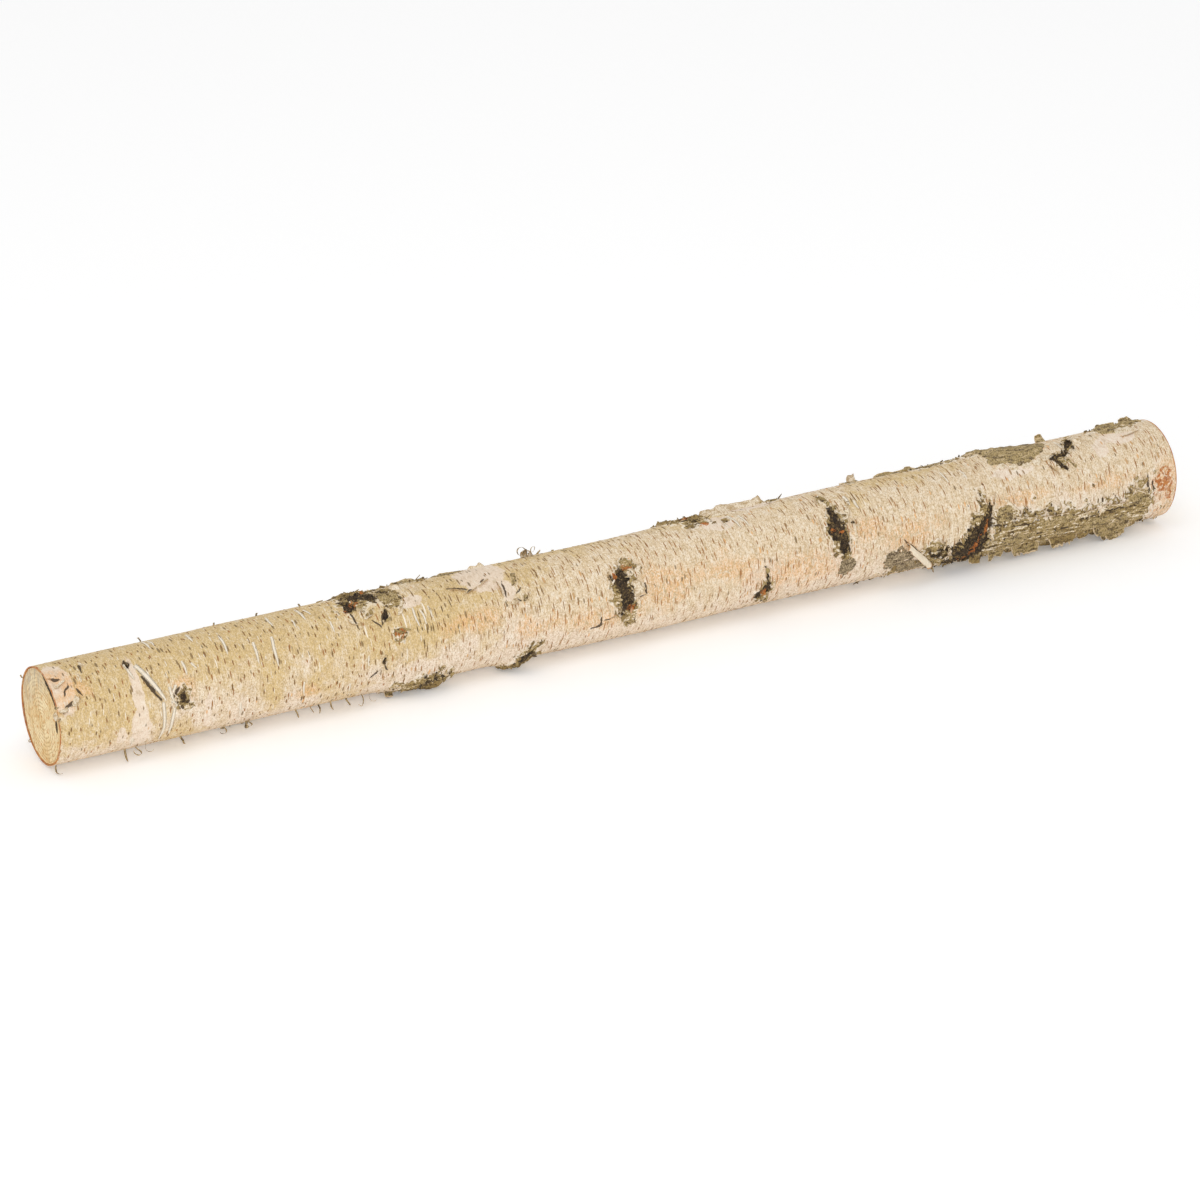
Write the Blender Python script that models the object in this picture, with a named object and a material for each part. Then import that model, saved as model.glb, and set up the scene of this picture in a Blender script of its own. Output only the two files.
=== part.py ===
"""Wood log: a one-metre length of birch pole with its bark on, sawn square at both ends, lying on its knots.

Frame: X runs along the log from the small sawn end (-X) to the large one (+X), Z is up and the log's front
faces -Y. The origin is on the floor, at the middle of the log's box. Along the log, a place is given as its
distance from the small sawn end. Round the log, it is given as a turn in degrees from the top towards the
front, so 90 is the middle of the front, 180 is the underside and -90 is the middle of the back.

The log grew as one piece, so it is one closed solid: rings of vertices, bridged from end to end and capped by
the two flat saw cuts.
"""

import math

import bmesh
import bpy
import numpy as np

# Driving dimensions, in metres; places of the sag and rise, and the sweep's reach, are shares of the length
LENGTH = 1.0
SMALL_END_RADIUS = 0.0383
LARGE_END_RADIUS = 0.0408
FLOOR_CLEARANCE = 0.0020
SWEEP_SIDE = 0.0025
SIDE_OFFSET = -0.0011
SWEEP_UP = 0.0010
SAG_PLACE = 0.47
RISE_PLACE = 0.70
SWEEP_REACH = 0.10
OVAL = 0.0006
OVAL_LEAN = 40.0
TAPER_POWER = 1.7
PRESSED = 0.0004

# The mesh grid, the bend that counts as a sharp edge in degrees, and the material slot of the saw cuts
RINGS = 97
SIDES = 32
SHARP_EDGE = 50.0
SAWN_SLOT = 1

# Grown knots: (distance along, turn, half length, half width, height), metres and degrees
KNOTS = (
    (0.102, 55, 0.012, 0.010, 0.0012),
    (0.270, 10, 0.026, 0.014, 0.0022),
    (0.481, 66, 0.018, 0.020, 0.0018),
    (0.560, 0, 0.022, 0.010, 0.0026),
    (0.605, 112, 0.014, 0.012, 0.0018),
    (0.680, 60, 0.016, 0.020, 0.0026),
    (0.800, 96, 0.020, 0.018, 0.0026),
    (0.840, -18, 0.030, 0.018, 0.0030),
    (0.215, -95, 0.020, 0.016, 0.0020),
    (0.430, -70, 0.022, 0.018, 0.0022),
    (0.715, -110, 0.022, 0.018, 0.0024),
    (0.905, -80, 0.018, 0.016, 0.0020),
    (0.389, 150, 0.013, 0.013, 0.0050),
)

# Knots that the log lies on: (distance along, turn, half length, half width). Each is as high as it takes to
# reach the floor from where it grows.
RESTING_KNOTS = (
    (0.305, 156, 0.024, 0.016),
    (0.905, 166, 0.060, 0.018),
    (0.150, -163, 0.026, 0.016),
    (0.650, -162, 0.024, 0.016),
)

# Raised plates of bark: (distance along, turn, half length, half width, height)
PLATES = (
    (0.312, -22, 0.016, 0.009, 0.0014),
    (0.346, -12, 0.015, 0.009, 0.0014),
    (0.604, -12, 0.036, 0.010, 0.0013),
    (0.758, -14, 0.028, 0.010, 0.0013),
    (0.857, 6, 0.032, 0.014, 0.0016),
    (0.965, 0, 0.022, 0.011, 0.0013),
    (0.900, 126, 0.085, 0.013, 0.0016),
)


def taper(along):
    """The log's plain radius: it grows slowly from the small end and faster near the butt."""
    share = along / LENGTH
    return SMALL_END_RADIUS + (LARGE_END_RADIUS - SMALL_END_RADIUS) * share**TAPER_POWER


def heart(along):
    """Side and up places of the pith: a gentle sweep to the back, a slight sag and then a slight rise."""
    share = along / LENGTH
    side = SIDE_OFFSET + SWEEP_SIDE * np.sin(math.pi * share)
    sag = np.exp(-(((share - SAG_PLACE) / SWEEP_REACH) ** 2))
    rise = np.exp(-(((share - RISE_PLACE) / SWEEP_REACH) ** 2))
    up = taper(along) + FLOOR_CLEARANCE + SWEEP_UP * (rise - sag)
    return side, up


def arc_between(turn, centre, radius):
    """Distance round the bark between two turns, the short way, in metres."""
    gap = (turn - centre + 180.0) % 360.0 - 180.0
    return np.radians(gap) * radius


def bump(along, turn, place, half_length, half_width, height):
    """A rounded mound: its height times a bell curve along and a bell curve round."""
    distance, centre = place
    lengthwise = (along - distance) / half_length
    crosswise = arc_between(turn, centre, taper(distance)) / half_width
    return height * np.exp(-(lengthwise**2) - crosswise**2)


def plate(along, turn, place, half_length, half_width, height):
    """A flat-topped mound: as a bump, but with fourth powers, so the edges are steeper."""
    distance, centre = place
    lengthwise = (along - distance) / half_length
    crosswise = arc_between(turn, centre, taper(distance)) / half_width
    return height * np.exp(-(lengthwise**4) - crosswise**4)


def resting_height(distance, turn):
    """How far a knot must stand proud to reach the floor and be rubbed flat by its last fraction."""
    down = -math.cos(math.radians(turn))
    return (heart(distance)[1] + PRESSED) / down - taper(distance)


def bark_radius(along, turn):
    """Distance from the pith to the bark's surface: taper, a slight oval, knots and plates."""
    radius = taper(along) + OVAL * np.cos(np.radians(2.0 * turn - OVAL_LEAN))
    for distance, centre, half_length, half_width, height in KNOTS:
        radius = radius + bump(along, turn, (distance, centre), half_length, half_width, height)
    for distance, centre, half_length, half_width, height in PLATES:
        radius = radius + plate(along, turn, (distance, centre), half_length, half_width, height)
    for distance, centre, half_length, half_width in RESTING_KNOTS:
        height = resting_height(distance, centre)
        radius = radius + plate(along, turn, (distance, centre), half_length, half_width, height)
    return radius


def ring_points(along):
    """One ring of the bark, starting at the top and turning towards the front."""
    turn = np.arange(SIDES) * 360.0 / SIDES
    radius = bark_radius(along, turn)
    side, up = heart(along)
    angle = np.radians(turn)
    x = np.full(SIDES, along - LENGTH / 2.0)
    y = side - radius * np.sin(angle)
    z = np.maximum(up + radius * np.cos(angle), 0.0)
    return np.column_stack((x, y, z))


def principled(name, colour, roughness):
    """A plain Principled material."""
    material = bpy.data.materials.new(name)
    material.use_nodes = True
    shader = material.node_tree.nodes["Principled BSDF"]
    shader.inputs["Base Color"].default_value = (*colour, 1.0)
    shader.inputs["Roughness"].default_value = roughness
    shader.inputs["Metallic"].default_value = 0.0
    return material


def bark_material():
    """Cream-pink birch bark."""
    return principled("bark", (0.78, 0.65, 0.50), 0.75)


def sawn_wood_material():
    """Pale straw wood of the saw cuts."""
    return principled("sawn_wood", (0.70, 0.52, 0.30), 0.85)


def build_log():
    """Rings bridged into one closed skin, with a flat face at each saw cut."""
    bm = bmesh.new()
    rings = []
    for index in range(RINGS):
        points = ring_points(LENGTH * index / (RINGS - 1))
        rings.append([bm.verts.new(point) for point in points.tolist()])
    for before, after in zip(rings[:-1], rings[1:]):
        for side in range(SIDES):
            ahead = (side + 1) % SIDES
            bm.faces.new((before[side], before[ahead], after[ahead], after[side]))
    small_cut = bm.faces.new(rings[0][::-1])
    large_cut = bm.faces.new(rings[-1])
    small_cut.material_index = SAWN_SLOT
    large_cut.material_index = SAWN_SLOT
    bmesh.ops.recalc_face_normals(bm, faces=bm.faces[:])
    mesh = bpy.data.meshes.new("log")
    bm.to_mesh(mesh)
    bm.free()
    mesh.materials.append(bark_material())
    mesh.materials.append(sawn_wood_material())
    mesh.shade_smooth()
    mesh.set_sharp_from_angle(angle=math.radians(SHARP_EDGE))
    log = bpy.data.objects.new("log", mesh)
    bpy.context.collection.objects.link(log)
    return log


for leftover in list(bpy.data.objects):
    bpy.data.objects.remove(leftover, do_unlink=True)
build_log()
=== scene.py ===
"""Looks of the wood log: birch bark with knots, raised plates, lenticels, paper curls and two sawn ends.

Laid out as a Blender add-on and run as a script. Every piece is a numpy surface round the log. A place on
the log is a distance along it from the small sawn end, in metres, and a turn round it in degrees, from the
top towards the front: 90 is the middle of the front, 180 the underside and -90 the middle of the back. A
heading on the bark is 0 along the log and 90 down its front.
"""

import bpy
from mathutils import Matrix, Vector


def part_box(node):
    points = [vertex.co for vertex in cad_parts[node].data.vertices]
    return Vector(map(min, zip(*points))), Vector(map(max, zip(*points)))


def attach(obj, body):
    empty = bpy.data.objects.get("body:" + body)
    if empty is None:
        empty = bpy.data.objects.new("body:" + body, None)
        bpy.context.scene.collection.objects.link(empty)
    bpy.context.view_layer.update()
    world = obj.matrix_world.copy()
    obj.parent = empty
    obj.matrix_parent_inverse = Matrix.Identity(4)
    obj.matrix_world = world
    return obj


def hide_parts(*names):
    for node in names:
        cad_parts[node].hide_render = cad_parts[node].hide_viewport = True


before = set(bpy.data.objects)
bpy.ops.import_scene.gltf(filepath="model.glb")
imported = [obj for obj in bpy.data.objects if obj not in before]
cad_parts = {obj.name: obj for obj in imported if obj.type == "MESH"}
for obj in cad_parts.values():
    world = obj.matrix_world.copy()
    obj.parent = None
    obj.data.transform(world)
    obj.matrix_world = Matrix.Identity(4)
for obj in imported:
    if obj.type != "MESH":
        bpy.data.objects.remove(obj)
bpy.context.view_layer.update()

import math

import bpy
import numpy as np
from bpy.props import FloatProperty, FloatVectorProperty, IntProperty, PointerProperty
from mathutils import Vector

bl_info = {
    "name": "Wood Log",
    "version": (1, 0, 0),
    "blender": (4, 5, 0),
    "location": "3D View > Sidebar > Wood Log",
    "description": "Birch bark, sawn ends, knots and paper curls of a wood log, and its stage",
    "category": "Object",
}

# The log's own shape, as its solid is drawn
LOG_LOW, LOG_HIGH = (np.array(corner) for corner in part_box("log"))
LENGTH = float(LOG_HIGH[0] - LOG_LOW[0])
SMALL_END_RADIUS = 0.0383
LARGE_END_RADIUS = 0.0408
TAPER_POWER = 1.7
FLOOR_CLEARANCE = 0.0020
SWEEP_SIDE = 0.0025
SIDE_OFFSET = -0.0011
SWEEP_UP = 0.0010
SAG_PLACE = 0.47
RISE_PLACE = 0.70
SWEEP_REACH = 0.10
OVAL = 0.0006
OVAL_LEAN = 40.0
MM = 0.001
FLOOR_GAP = 0.0002


# ---- Numbers that look grown: lattice noise, worked out on whole arrays ----


def lattice_value(i, j, k, seed):
    """A repeatable number from 0 to 1 for each whole-numbered lattice point, by mixing its digits."""
    mixed = i * 374761393 + j * 668265263 + k * 1274126177 + seed * 1013904223
    mixed = (mixed ^ (mixed >> 13)) & 0xFFFFFFFF
    mixed = (mixed * 1274126177) & 0xFFFFFFFF
    mixed = mixed ^ (mixed >> 16)
    return (mixed & 0xFFFFFF) / float(0xFFFFFF)


def value_noise(x, y, z, seed):
    """Smooth noise from -1 to 1: the eight lattice values round each point, blended by a quintic ease."""
    cell = [np.floor(axis).astype(np.int64) for axis in (x, y, z)]
    ease = []
    for axis, low in zip((x, y, z), cell):
        part = axis - low
        ease.append(part * part * part * (part * (part * 6.0 - 15.0) + 10.0))
    total = np.zeros(np.broadcast(x, y, z).shape)
    for corner in range(8):
        step = (corner & 1, (corner >> 1) & 1, (corner >> 2) & 1)
        weight = 1.0
        for taken, part in zip(step, ease):
            weight = weight * (part if taken else 1.0 - part)
        total = total + weight * lattice_value(*(low + taken for low, taken in zip(cell, step)), seed)
    return total * 2.0 - 1.0


def layered_noise(x, y, z, seed, layers=3):
    """Noise added to itself at doubled fineness and half strength, about -1 to 1."""
    total, strength, norm = 0.0, 1.0, 0.0
    for layer in range(layers):
        fine = 2.0**layer
        total = total + strength * value_noise(x * fine, y * fine, z * fine, seed + layer)
        norm += strength
        strength *= 0.5
    return total / norm


def around_noise(along, turn, grain_along, grain_round, seed, layers=3):
    """Layered noise on the bark with no seam: read in space round the log, with a grain each way."""
    angle = np.radians(turn)
    reach = SMALL_END_RADIUS / grain_round
    return layered_noise(along / grain_along, reach * np.sin(angle), reach * np.cos(angle), seed, layers)


def eased(low, high, value):
    """0 below low, 1 above high and a smooth S between them."""
    share = np.clip((value - low) / (high - low), 0.0, 1.0)
    return share * share * (3.0 - 2.0 * share)


# ---- What grows where ----

# Marks on the bark, each an oval: distance along, turn, half length and half width in mm and, where it isn't
# 0, the heading of the length
MARKS = {
    # Dark cores of branch scars, and thin dark strips painted as shadow under the hanging flakes
    "core": (
        (0.0995, 77, 2.3, 5.6, 14), (0.251, 17, 5.0, 5.0, 15), (0.262, -3, 9.0, 8.0),
        (0.271, 8, 4.5, 6.0, 10), (0.284, 4, 3.5, 4.0), (0.277, 38, 2.0, 5.0, 20),
        (0.268, 90, 1.5, 3.4, 10), (0.064, 26, 2.2, 3.2, 10), (0.477, 57, 6.0, 8.5),
        (0.480, 79, 5.6, 9.5, 12), (0.608, 92, 1.2, 6.0, -8), (0.609, 107, 3.0, 6.0),
        (0.603, 117, 3.2, 5.5, 25), (0.675, 42, 4.0, 9.0), (0.675, 58, 7.5, 10.0), (0.679, 74, 4.2, 9.0, 8),
        (0.818, 72, 3.5, 6.0, 10), (0.813, 88, 7.0, 9.0, 10), (0.806, 104, 11.0, 11.0, 10),
        (0.800, 122, 15.0, 14.0, 10), (0.796, 142, 17.0, 10.0), (0.778, 112, 9.0, 3.0, 10),
        # Painted shadow: the strips at 0.943, 0.896 and 0.860 along, turns 139 to 142, lie under the hanging
        # flakes
        (0.768, 120, 8.0, 2.5, 20), (0.943, 139, 15.0, 2.2), (0.896, 141, 11.0, 1.8),
        (0.860, 142, 11.0, 1.8), (0.913, 8, 10.0, 2.2, 132), (0.897, 24, 8.0, 2.0, 170),
        (0.894, 35, 9.0, 2.2, 52), (0.903, 20, 3.0, 3.0), (0.558, -12, 14.0, 4.0, 30),
        (0.307, 142, 15.0, 5.0, -14), (0.296, 152, 12.0, 5.0), (0.390, 141, 13.0, 5.5, -47),
        (0.215, -95, 7.0, 13.0, 10), (0.430, -72, 6.0, 15.0, -6), (0.715, -110, 7.0, 15.0, 5),
        (0.905, -82, 7.0, 12.0, -12), (0.330, -150, 6.0, 10.0), (0.600, -140, 5.0, 9.0, 20),
    ),
    # Thin dark slits and creases, one of them painted shadow along the foot of the white roll
    "slit": (
        (0.077, 61, 12.0, 1.4, 60), (0.006, 23, 5.5, 1.4, 20), (0.0115, 41, 7.0, 0.7, -54),
        (0.0105, 59, 7.0, 1.4, -30), (0.029, 15, 1.0, 4.5), (0.021, 46, 4.0, 0.8, 60),
        (0.251, 36, 1.0, 7.0, -10), (0.274, 40, 1.3, 6.0, 25), (0.268, 44, 5.0, 0.8, 50),
        (0.260, 106, 7.0, 0.8, -40), (0.270, 98, 4.0, 0.8, 60), (0.343, 23, 9.0, 0.9, 20),
        (0.352, 29, 4.0, 0.8, -30), (0.366, 18, 4.0, 0.7, -35), (0.380, 36, 1.0, 7.0),
        (0.391, 42, 4.0, 0.9, -40), (0.388, 53, 3.5, 0.8, 20), (0.455, 108, 6.0, 1.0, -15),
        # Painted shadow: the slit at 0.745 along, turn 99, lies along the hinge of the white roll
        (0.458, 101, 1.0, 3.5), (0.466, 100, 6.0, 0.6, -4), (0.745, 99, 12.0, 1.0, 44),
        (0.604, -13, 38.0, 0.8), (0.0955, 70, 4.8, 1.0, 125), (0.0950, 85, 4.2, 0.9, 53),
        (0.4985, 72, 4.6, 0.9, 80), (0.4945, 80, 3.0, 0.8, 160), (0.828, 93, 8.0, 1.0, 10),
        (0.850, 99, 12.0, 0.9, 4), (0.880, 104, 12.0, 0.9), (0.912, 110, 9.0, 0.9, -6),
        (0.940, 106, 10.0, 0.9), (0.965, 96, 7.0, 0.9), (0.972, 82, 1.0, 7.0), (0.977, 88, 0.9, 6.0),
        (0.520, -60, 12.0, 0.9, 30), (0.300, -80, 9.0, 0.9, -30), (0.800, -96, 12.0, 1.0, 20),
    ),
    # Rough olive and brown crust
    "crust": (
        (0.100, 78, 5.0, 9.0), (0.104, 90, 5.0, 3.5), (0.262, 1, 17.0, 14.0), (0.286, 10, 9.0, 12.0),
        (0.310, -22, 16.0, 6.0), (0.285, 62, 5.5, 5.5), (0.486, 40, 6.5, 6.5), (0.478, 68, 8.5, 16.0),
        (0.484, 94, 5.5, 11.0), (0.471, 77, 3.0, 5.5), (0.606, 111, 6.0, 11.0, 5),
        (0.676, 18, 3.2, 10.0, -12), (0.676, 58, 8.5, 17.0), (0.680, 88, 4.0, 4.5),
        (0.306, 144, 24.0, 12.0, -8), (0.391, 139, 17.0, 8.0, -47), (0.557, -10, 22.0, 8.0, 25),
        (0.768, 112, 13.0, 8.0, 10), (0.755, 133, 28.0, 6.0), (0.805, 108, 12.0, 32.0, 10),
        (0.798, 135, 18.0, 14.0), (0.832, 84, 11.0, 8.0, -20), (0.845, 127, 34.0, 26.0),
        (0.890, 125, 36.0, 25.0), (0.930, 130, 34.0, 22.0), (0.960, 112, 14.0, 20.0, 20),
        (0.962, 134, 14.0, 13.0), (0.966, 95, 8.0, 6.0), (0.640, -20, 8.0, 5.0),
        (0.912, 10, 11.0, 4.0, 130), (0.896, 30, 6.0, 7.0), (0.840, -20, 16.0, 10.0),
        (0.790, -16, 24.0, 4.0), (0.970, -14, 24.0, 9.0), (0.716, -20, 6.0, 6.0), (0.875, 165, 92.0, 12.0),
        (0.150, -163, 24.0, 15.0), (0.650, -162, 22.0, 15.0), (0.215, -95, 12.0, 18.0, 10),
        (0.430, -72, 11.0, 20.0, -6), (0.715, -110, 12.0, 20.0, 5), (0.905, -82, 12.0, 17.0, -12),
        (0.330, -150, 12.0, 14.0), (0.600, -140, 9.0, 13.0, 20),
    ),
    # Rust where inner bark shows
    "rust": (
        (0.256, 14, 4.0, 2.4), (0.270, -8, 2.6, 2.6), (0.248, 22, 2.4, 2.4), (0.285, 62, 4.0, 3.6),
        (0.486, 42, 4.5, 3.0), (0.483, 91, 3.0, 2.5), (0.473, 50, 1.5, 3.0), (0.671, 56, 2.2, 1.6),
        (0.678, 60, 2.6, 1.3), (0.804, 118, 3.0, 10.0, 15), (0.813, 92, 2.0, 6.0, 10),
        (0.797, 138, 6.0, 3.0), (0.607, 114, 1.6, 4.0), (0.987, 85, 8.5, 8.5), (0.993, 100, 3.5, 5.0),
        (0.990, 72, 5.0, 4.0), (0.558, -14, 6.0, 2.0), (0.568, 8, 4.0, 1.6), (0.215, -95, 3.0, 5.0),
        (0.432, -70, 2.0, 6.0), (0.715, -112, 3.0, 5.0),
    ),
    # Pale bark where the outer sheet has peeled away
    "fresh": (
        (0.0655, 60, 4.2, 30.0), (0.0655, 108, 7.6, 22.0), (0.121, 104, 3.2, 18.0), (0.050, 112, 4.0, 9.0),
        (0.007, 32, 11.0, 24.0), (0.368, 4, 21.0, 22.0), (0.382, 38, 6.5, 9.0), (0.300, 26, 11.0, 6.0),
        (0.580, 10, 15.0, 9.0), (0.620, -12, 24.0, 6.0), (0.938, 26, 7.0, 9.0, 30), (0.946, 16, 9.0, 4.0),
        (0.960, 14, 16.0, 8.0), (0.850, 32, 20.0, 6.0), (0.868, 93, 40.0, 2.5, 2),
        (0.935, 96, 30.0, 2.5, -3), (0.545, -70, 22.0, 20.0), (0.120, -120, 14.0, 26.0),
        (0.800, -70, 24.0, 14.0), (0.330, -40, 16.0, 14.0),
    ),
    # Orange stains
    "stain": (
        (0.516, 76, 20.0, 20.0), (0.350, 66, 24.0, 9.0), (0.455, 96, 30.0, 9.0), (0.204, 108, 10.0, 6.0),
        (0.640, 92, 40.0, 14.0), (0.575, 72, 30.0, 9.0), (0.400, 88, 24.0, 7.0), (0.700, 62, 18.0, 8.0),
        (0.006, 20, 9.0, 9.0), (0.016, 38, 9.0, 11.0), (0.008, 54, 9.0, 7.0), (0.104, 66, 8.0, 10.0),
        (0.744, 78, 20.0, 10.0), (0.850, 66, 30.0, 5.0), (0.925, 70, 24.0, 5.0), (0.990, 76, 12.0, 16.0),
        (0.992, 112, 9.0, 22.0), (0.760, -60, 34.0, 20.0), (0.330, -110, 34.0, 18.0),
    ),
    # Green film of algae
    "film": (
        (0.176, 110, 11.0, 40.0), (0.040, 60, 24.0, 70.0), (0.150, -5, 160.0, 24.0),
        (0.440, -16, 50.0, 9.0), (0.560, -8, 40.0, 8.0), (0.760, -4, 70.0, 11.0), (0.300, 60, 26.0, 20.0),
        (0.262, 58, 16.0, 22.0), (0.205, 108, 14.0, 12.0), (0.700, 30, 18.0, 18.0), (0.890, 98, 75.0, 9.0),
        (0.400, -60, 200.0, 30.0), (0.800, -150, 160.0, 40.0), (0.200, 170, 160.0, 30.0),
    ),
}

# A mark fades out at this many times its oval, and its places are pushed about by up to this far
MARK_REACH = 2.6
WARP = 1.6 * MM

# Noise on the bark: its grain along and round in metres, its seed and its layers
GRAINS = {
    "swell": (0.060, 0.030, 1, 2),
    "ripple": (0.012, 0.020, 5, 2),
    "flakes": (0.0022, 0.0120, 9, 2),
    "drift": (0.050, 0.030, 11, 3),
    "lumpy": (0.010, 0.010, 13, 2),
    "blush": (0.030, 0.050, 15, 3),
    "cracks": (0.0110, 0.0042, 17, 3),
    "crumbs": (0.0018, 0.0020, 19, 2),
    "frayed rim": (0.004, 0.006, 23, 2),
    "push along": (0.0050, 0.0050, 91, 2),
    "push round": (0.0050, 0.0050, 95, 2),
}

# Heights and depths of the bark's relief in mm
SWELL_HEIGHT = 0.40
RIPPLE_HEIGHT = 0.16
FLAKE_HEIGHT = 0.05
CRUST_HEIGHT = 0.50
CRACK_HEIGHT = 0.65
CRUMB_HEIGHT = 0.30
LIP_HEIGHT = 0.7
CORE_DEPTH = 1.4
CORE_CRUMBS = 1.1
SLIT_DEPTH = 0.9
FRESH_DEPTH = 0.28

# Zone values between which each kind's relief starts and is full
CRUST_EDGE = (0.46, 0.56)
CORE_EDGE = (0.44, 0.56)
SLIT_EDGE = (0.42, 0.60)
FRESH_EDGE = (0.46, 0.54)

# Width in metres of the rim at the saw cuts, and the turns from the top between which the painted shade on
# the under side starts
RIM_WIDTH = 0.0008
SHADED_UNDER_SIDE = (118.0, 146.0)

# Waviness of each kind's edge, its grain in metres and its seed
MARK_EDGES = {
    "core": (0.55, 0.0034, 21),
    "slit": (0.30, 0.0030, 31),
    "crust": (0.60, 0.0070, 41),
    "rust": (0.55, 0.0035, 51),
    "fresh": (0.24, 0.0060, 61),
    "stain": (0.80, 0.0140, 71),
    "film": (0.90, 0.0200, 81),
}

# Lumps under the bark: distance along, turn, half length, half width and height in mm
LUMPS = (
    (0.304, 150, 24.0, 13.0, 5.2),
    (0.389, 147, 13.0, 12.0, 4.6),
    (0.150, -163, 26.0, 16.0, 3.0),
    (0.650, -162, 24.0, 16.0, 3.0),
    (0.840, -16, 28.0, 14.0, 2.2),
    (0.269, 4, 22.0, 16.0, 1.6),
    (0.478, 68, 12.0, 18.0, 1.2),
    (0.676, 58, 12.0, 20.0, 1.0),
    (0.803, 112, 16.0, 30.0, 1.6),
    (0.558, -12, 20.0, 10.0, 1.8),
    (0.930, 140, 70.0, 16.0, 1.4),
    (0.101, 78, 6.0, 9.0, 0.8),
    (0.215, -95, 14.0, 20.0, 1.6),
    (0.430, -72, 12.0, 22.0, 1.4),
    (0.715, -110, 14.0, 22.0, 1.6),
    (0.905, -82, 13.0, 20.0, 1.4),
)


def taper(along):
    """Plain radius, rising with a power of the distance along."""
    share = np.clip(along / LENGTH, 0.0, 1.0)
    return SMALL_END_RADIUS + (LARGE_END_RADIUS - SMALL_END_RADIUS) * share**TAPER_POWER


def heart(along):
    """Side and up places of the pith: half a sine wave sideways, a bell-shaped sag and rise upwards."""
    share = np.clip(along / LENGTH, 0.0, 1.0)
    side = SIDE_OFFSET + SWEEP_SIDE * np.sin(math.pi * share)
    sag = np.exp(-(((share - SAG_PLACE) / SWEEP_REACH) ** 2))
    rise = np.exp(-(((share - RISE_PLACE) / SWEEP_REACH) ** 2))
    return side, taper(along) + FLOOR_CLEARANCE + SWEEP_UP * (rise - sag)


def signed_turn(turn):
    """The same turn, from -180 to 180."""
    return (turn + 180.0) % 360.0 - 180.0


def grown(along, turn, name):
    """The bark's noise of one name."""
    return around_noise(along, turn, *GRAINS[name])


def oval_distance(along, turn, distance, centre, half_length, half_width, heading=0.0):
    """0 at a centre and 1 on an oval round it, its length turned by the heading."""
    lengthwise = along - distance
    crosswise = np.radians(signed_turn(turn - centre)) * taper(distance)
    lean = math.radians(heading)
    first = (lengthwise * math.cos(lean) + crosswise * math.sin(lean)) / (half_length * MM)
    second = (crosswise * math.cos(lean) - lengthwise * math.sin(lean)) / (half_width * MM)
    return np.hypot(first, second)


def warped(along, turn):
    """The same places pushed about by noise, so that no mark keeps a drawn outline."""
    aside = WARP * grown(along, turn, "push round")
    return along + WARP * grown(along, turn, "push along"), turn + np.degrees(aside / SMALL_END_RADIUS)


def mark(along, turn, kind):
    """1 less half the distance from a kind's marks: 1 in their middles, 0.5 on their edges and 0 far off."""
    wave, grain_size, seed = MARK_EDGES[kind]
    near = np.full(np.broadcast(along, turn).shape, 2.0 * MARK_REACH)
    low, high = along.min(), along.max()
    for row in MARKS[kind]:
        reach = MARK_REACH * max(row[2:4]) * MM
        if low - reach < row[0] < high + reach:
            near = np.minimum(near, oval_distance(along, turn, *row))
    if near.min() > MARK_REACH:
        return np.zeros_like(near)
    inside = 1.0 - 0.5 * near * (1.0 + wave * around_noise(along, turn, grain_size, grain_size, seed))
    return np.clip(inside, 0.0, 1.0) * eased(MARK_REACH, 2.0, near)


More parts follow.
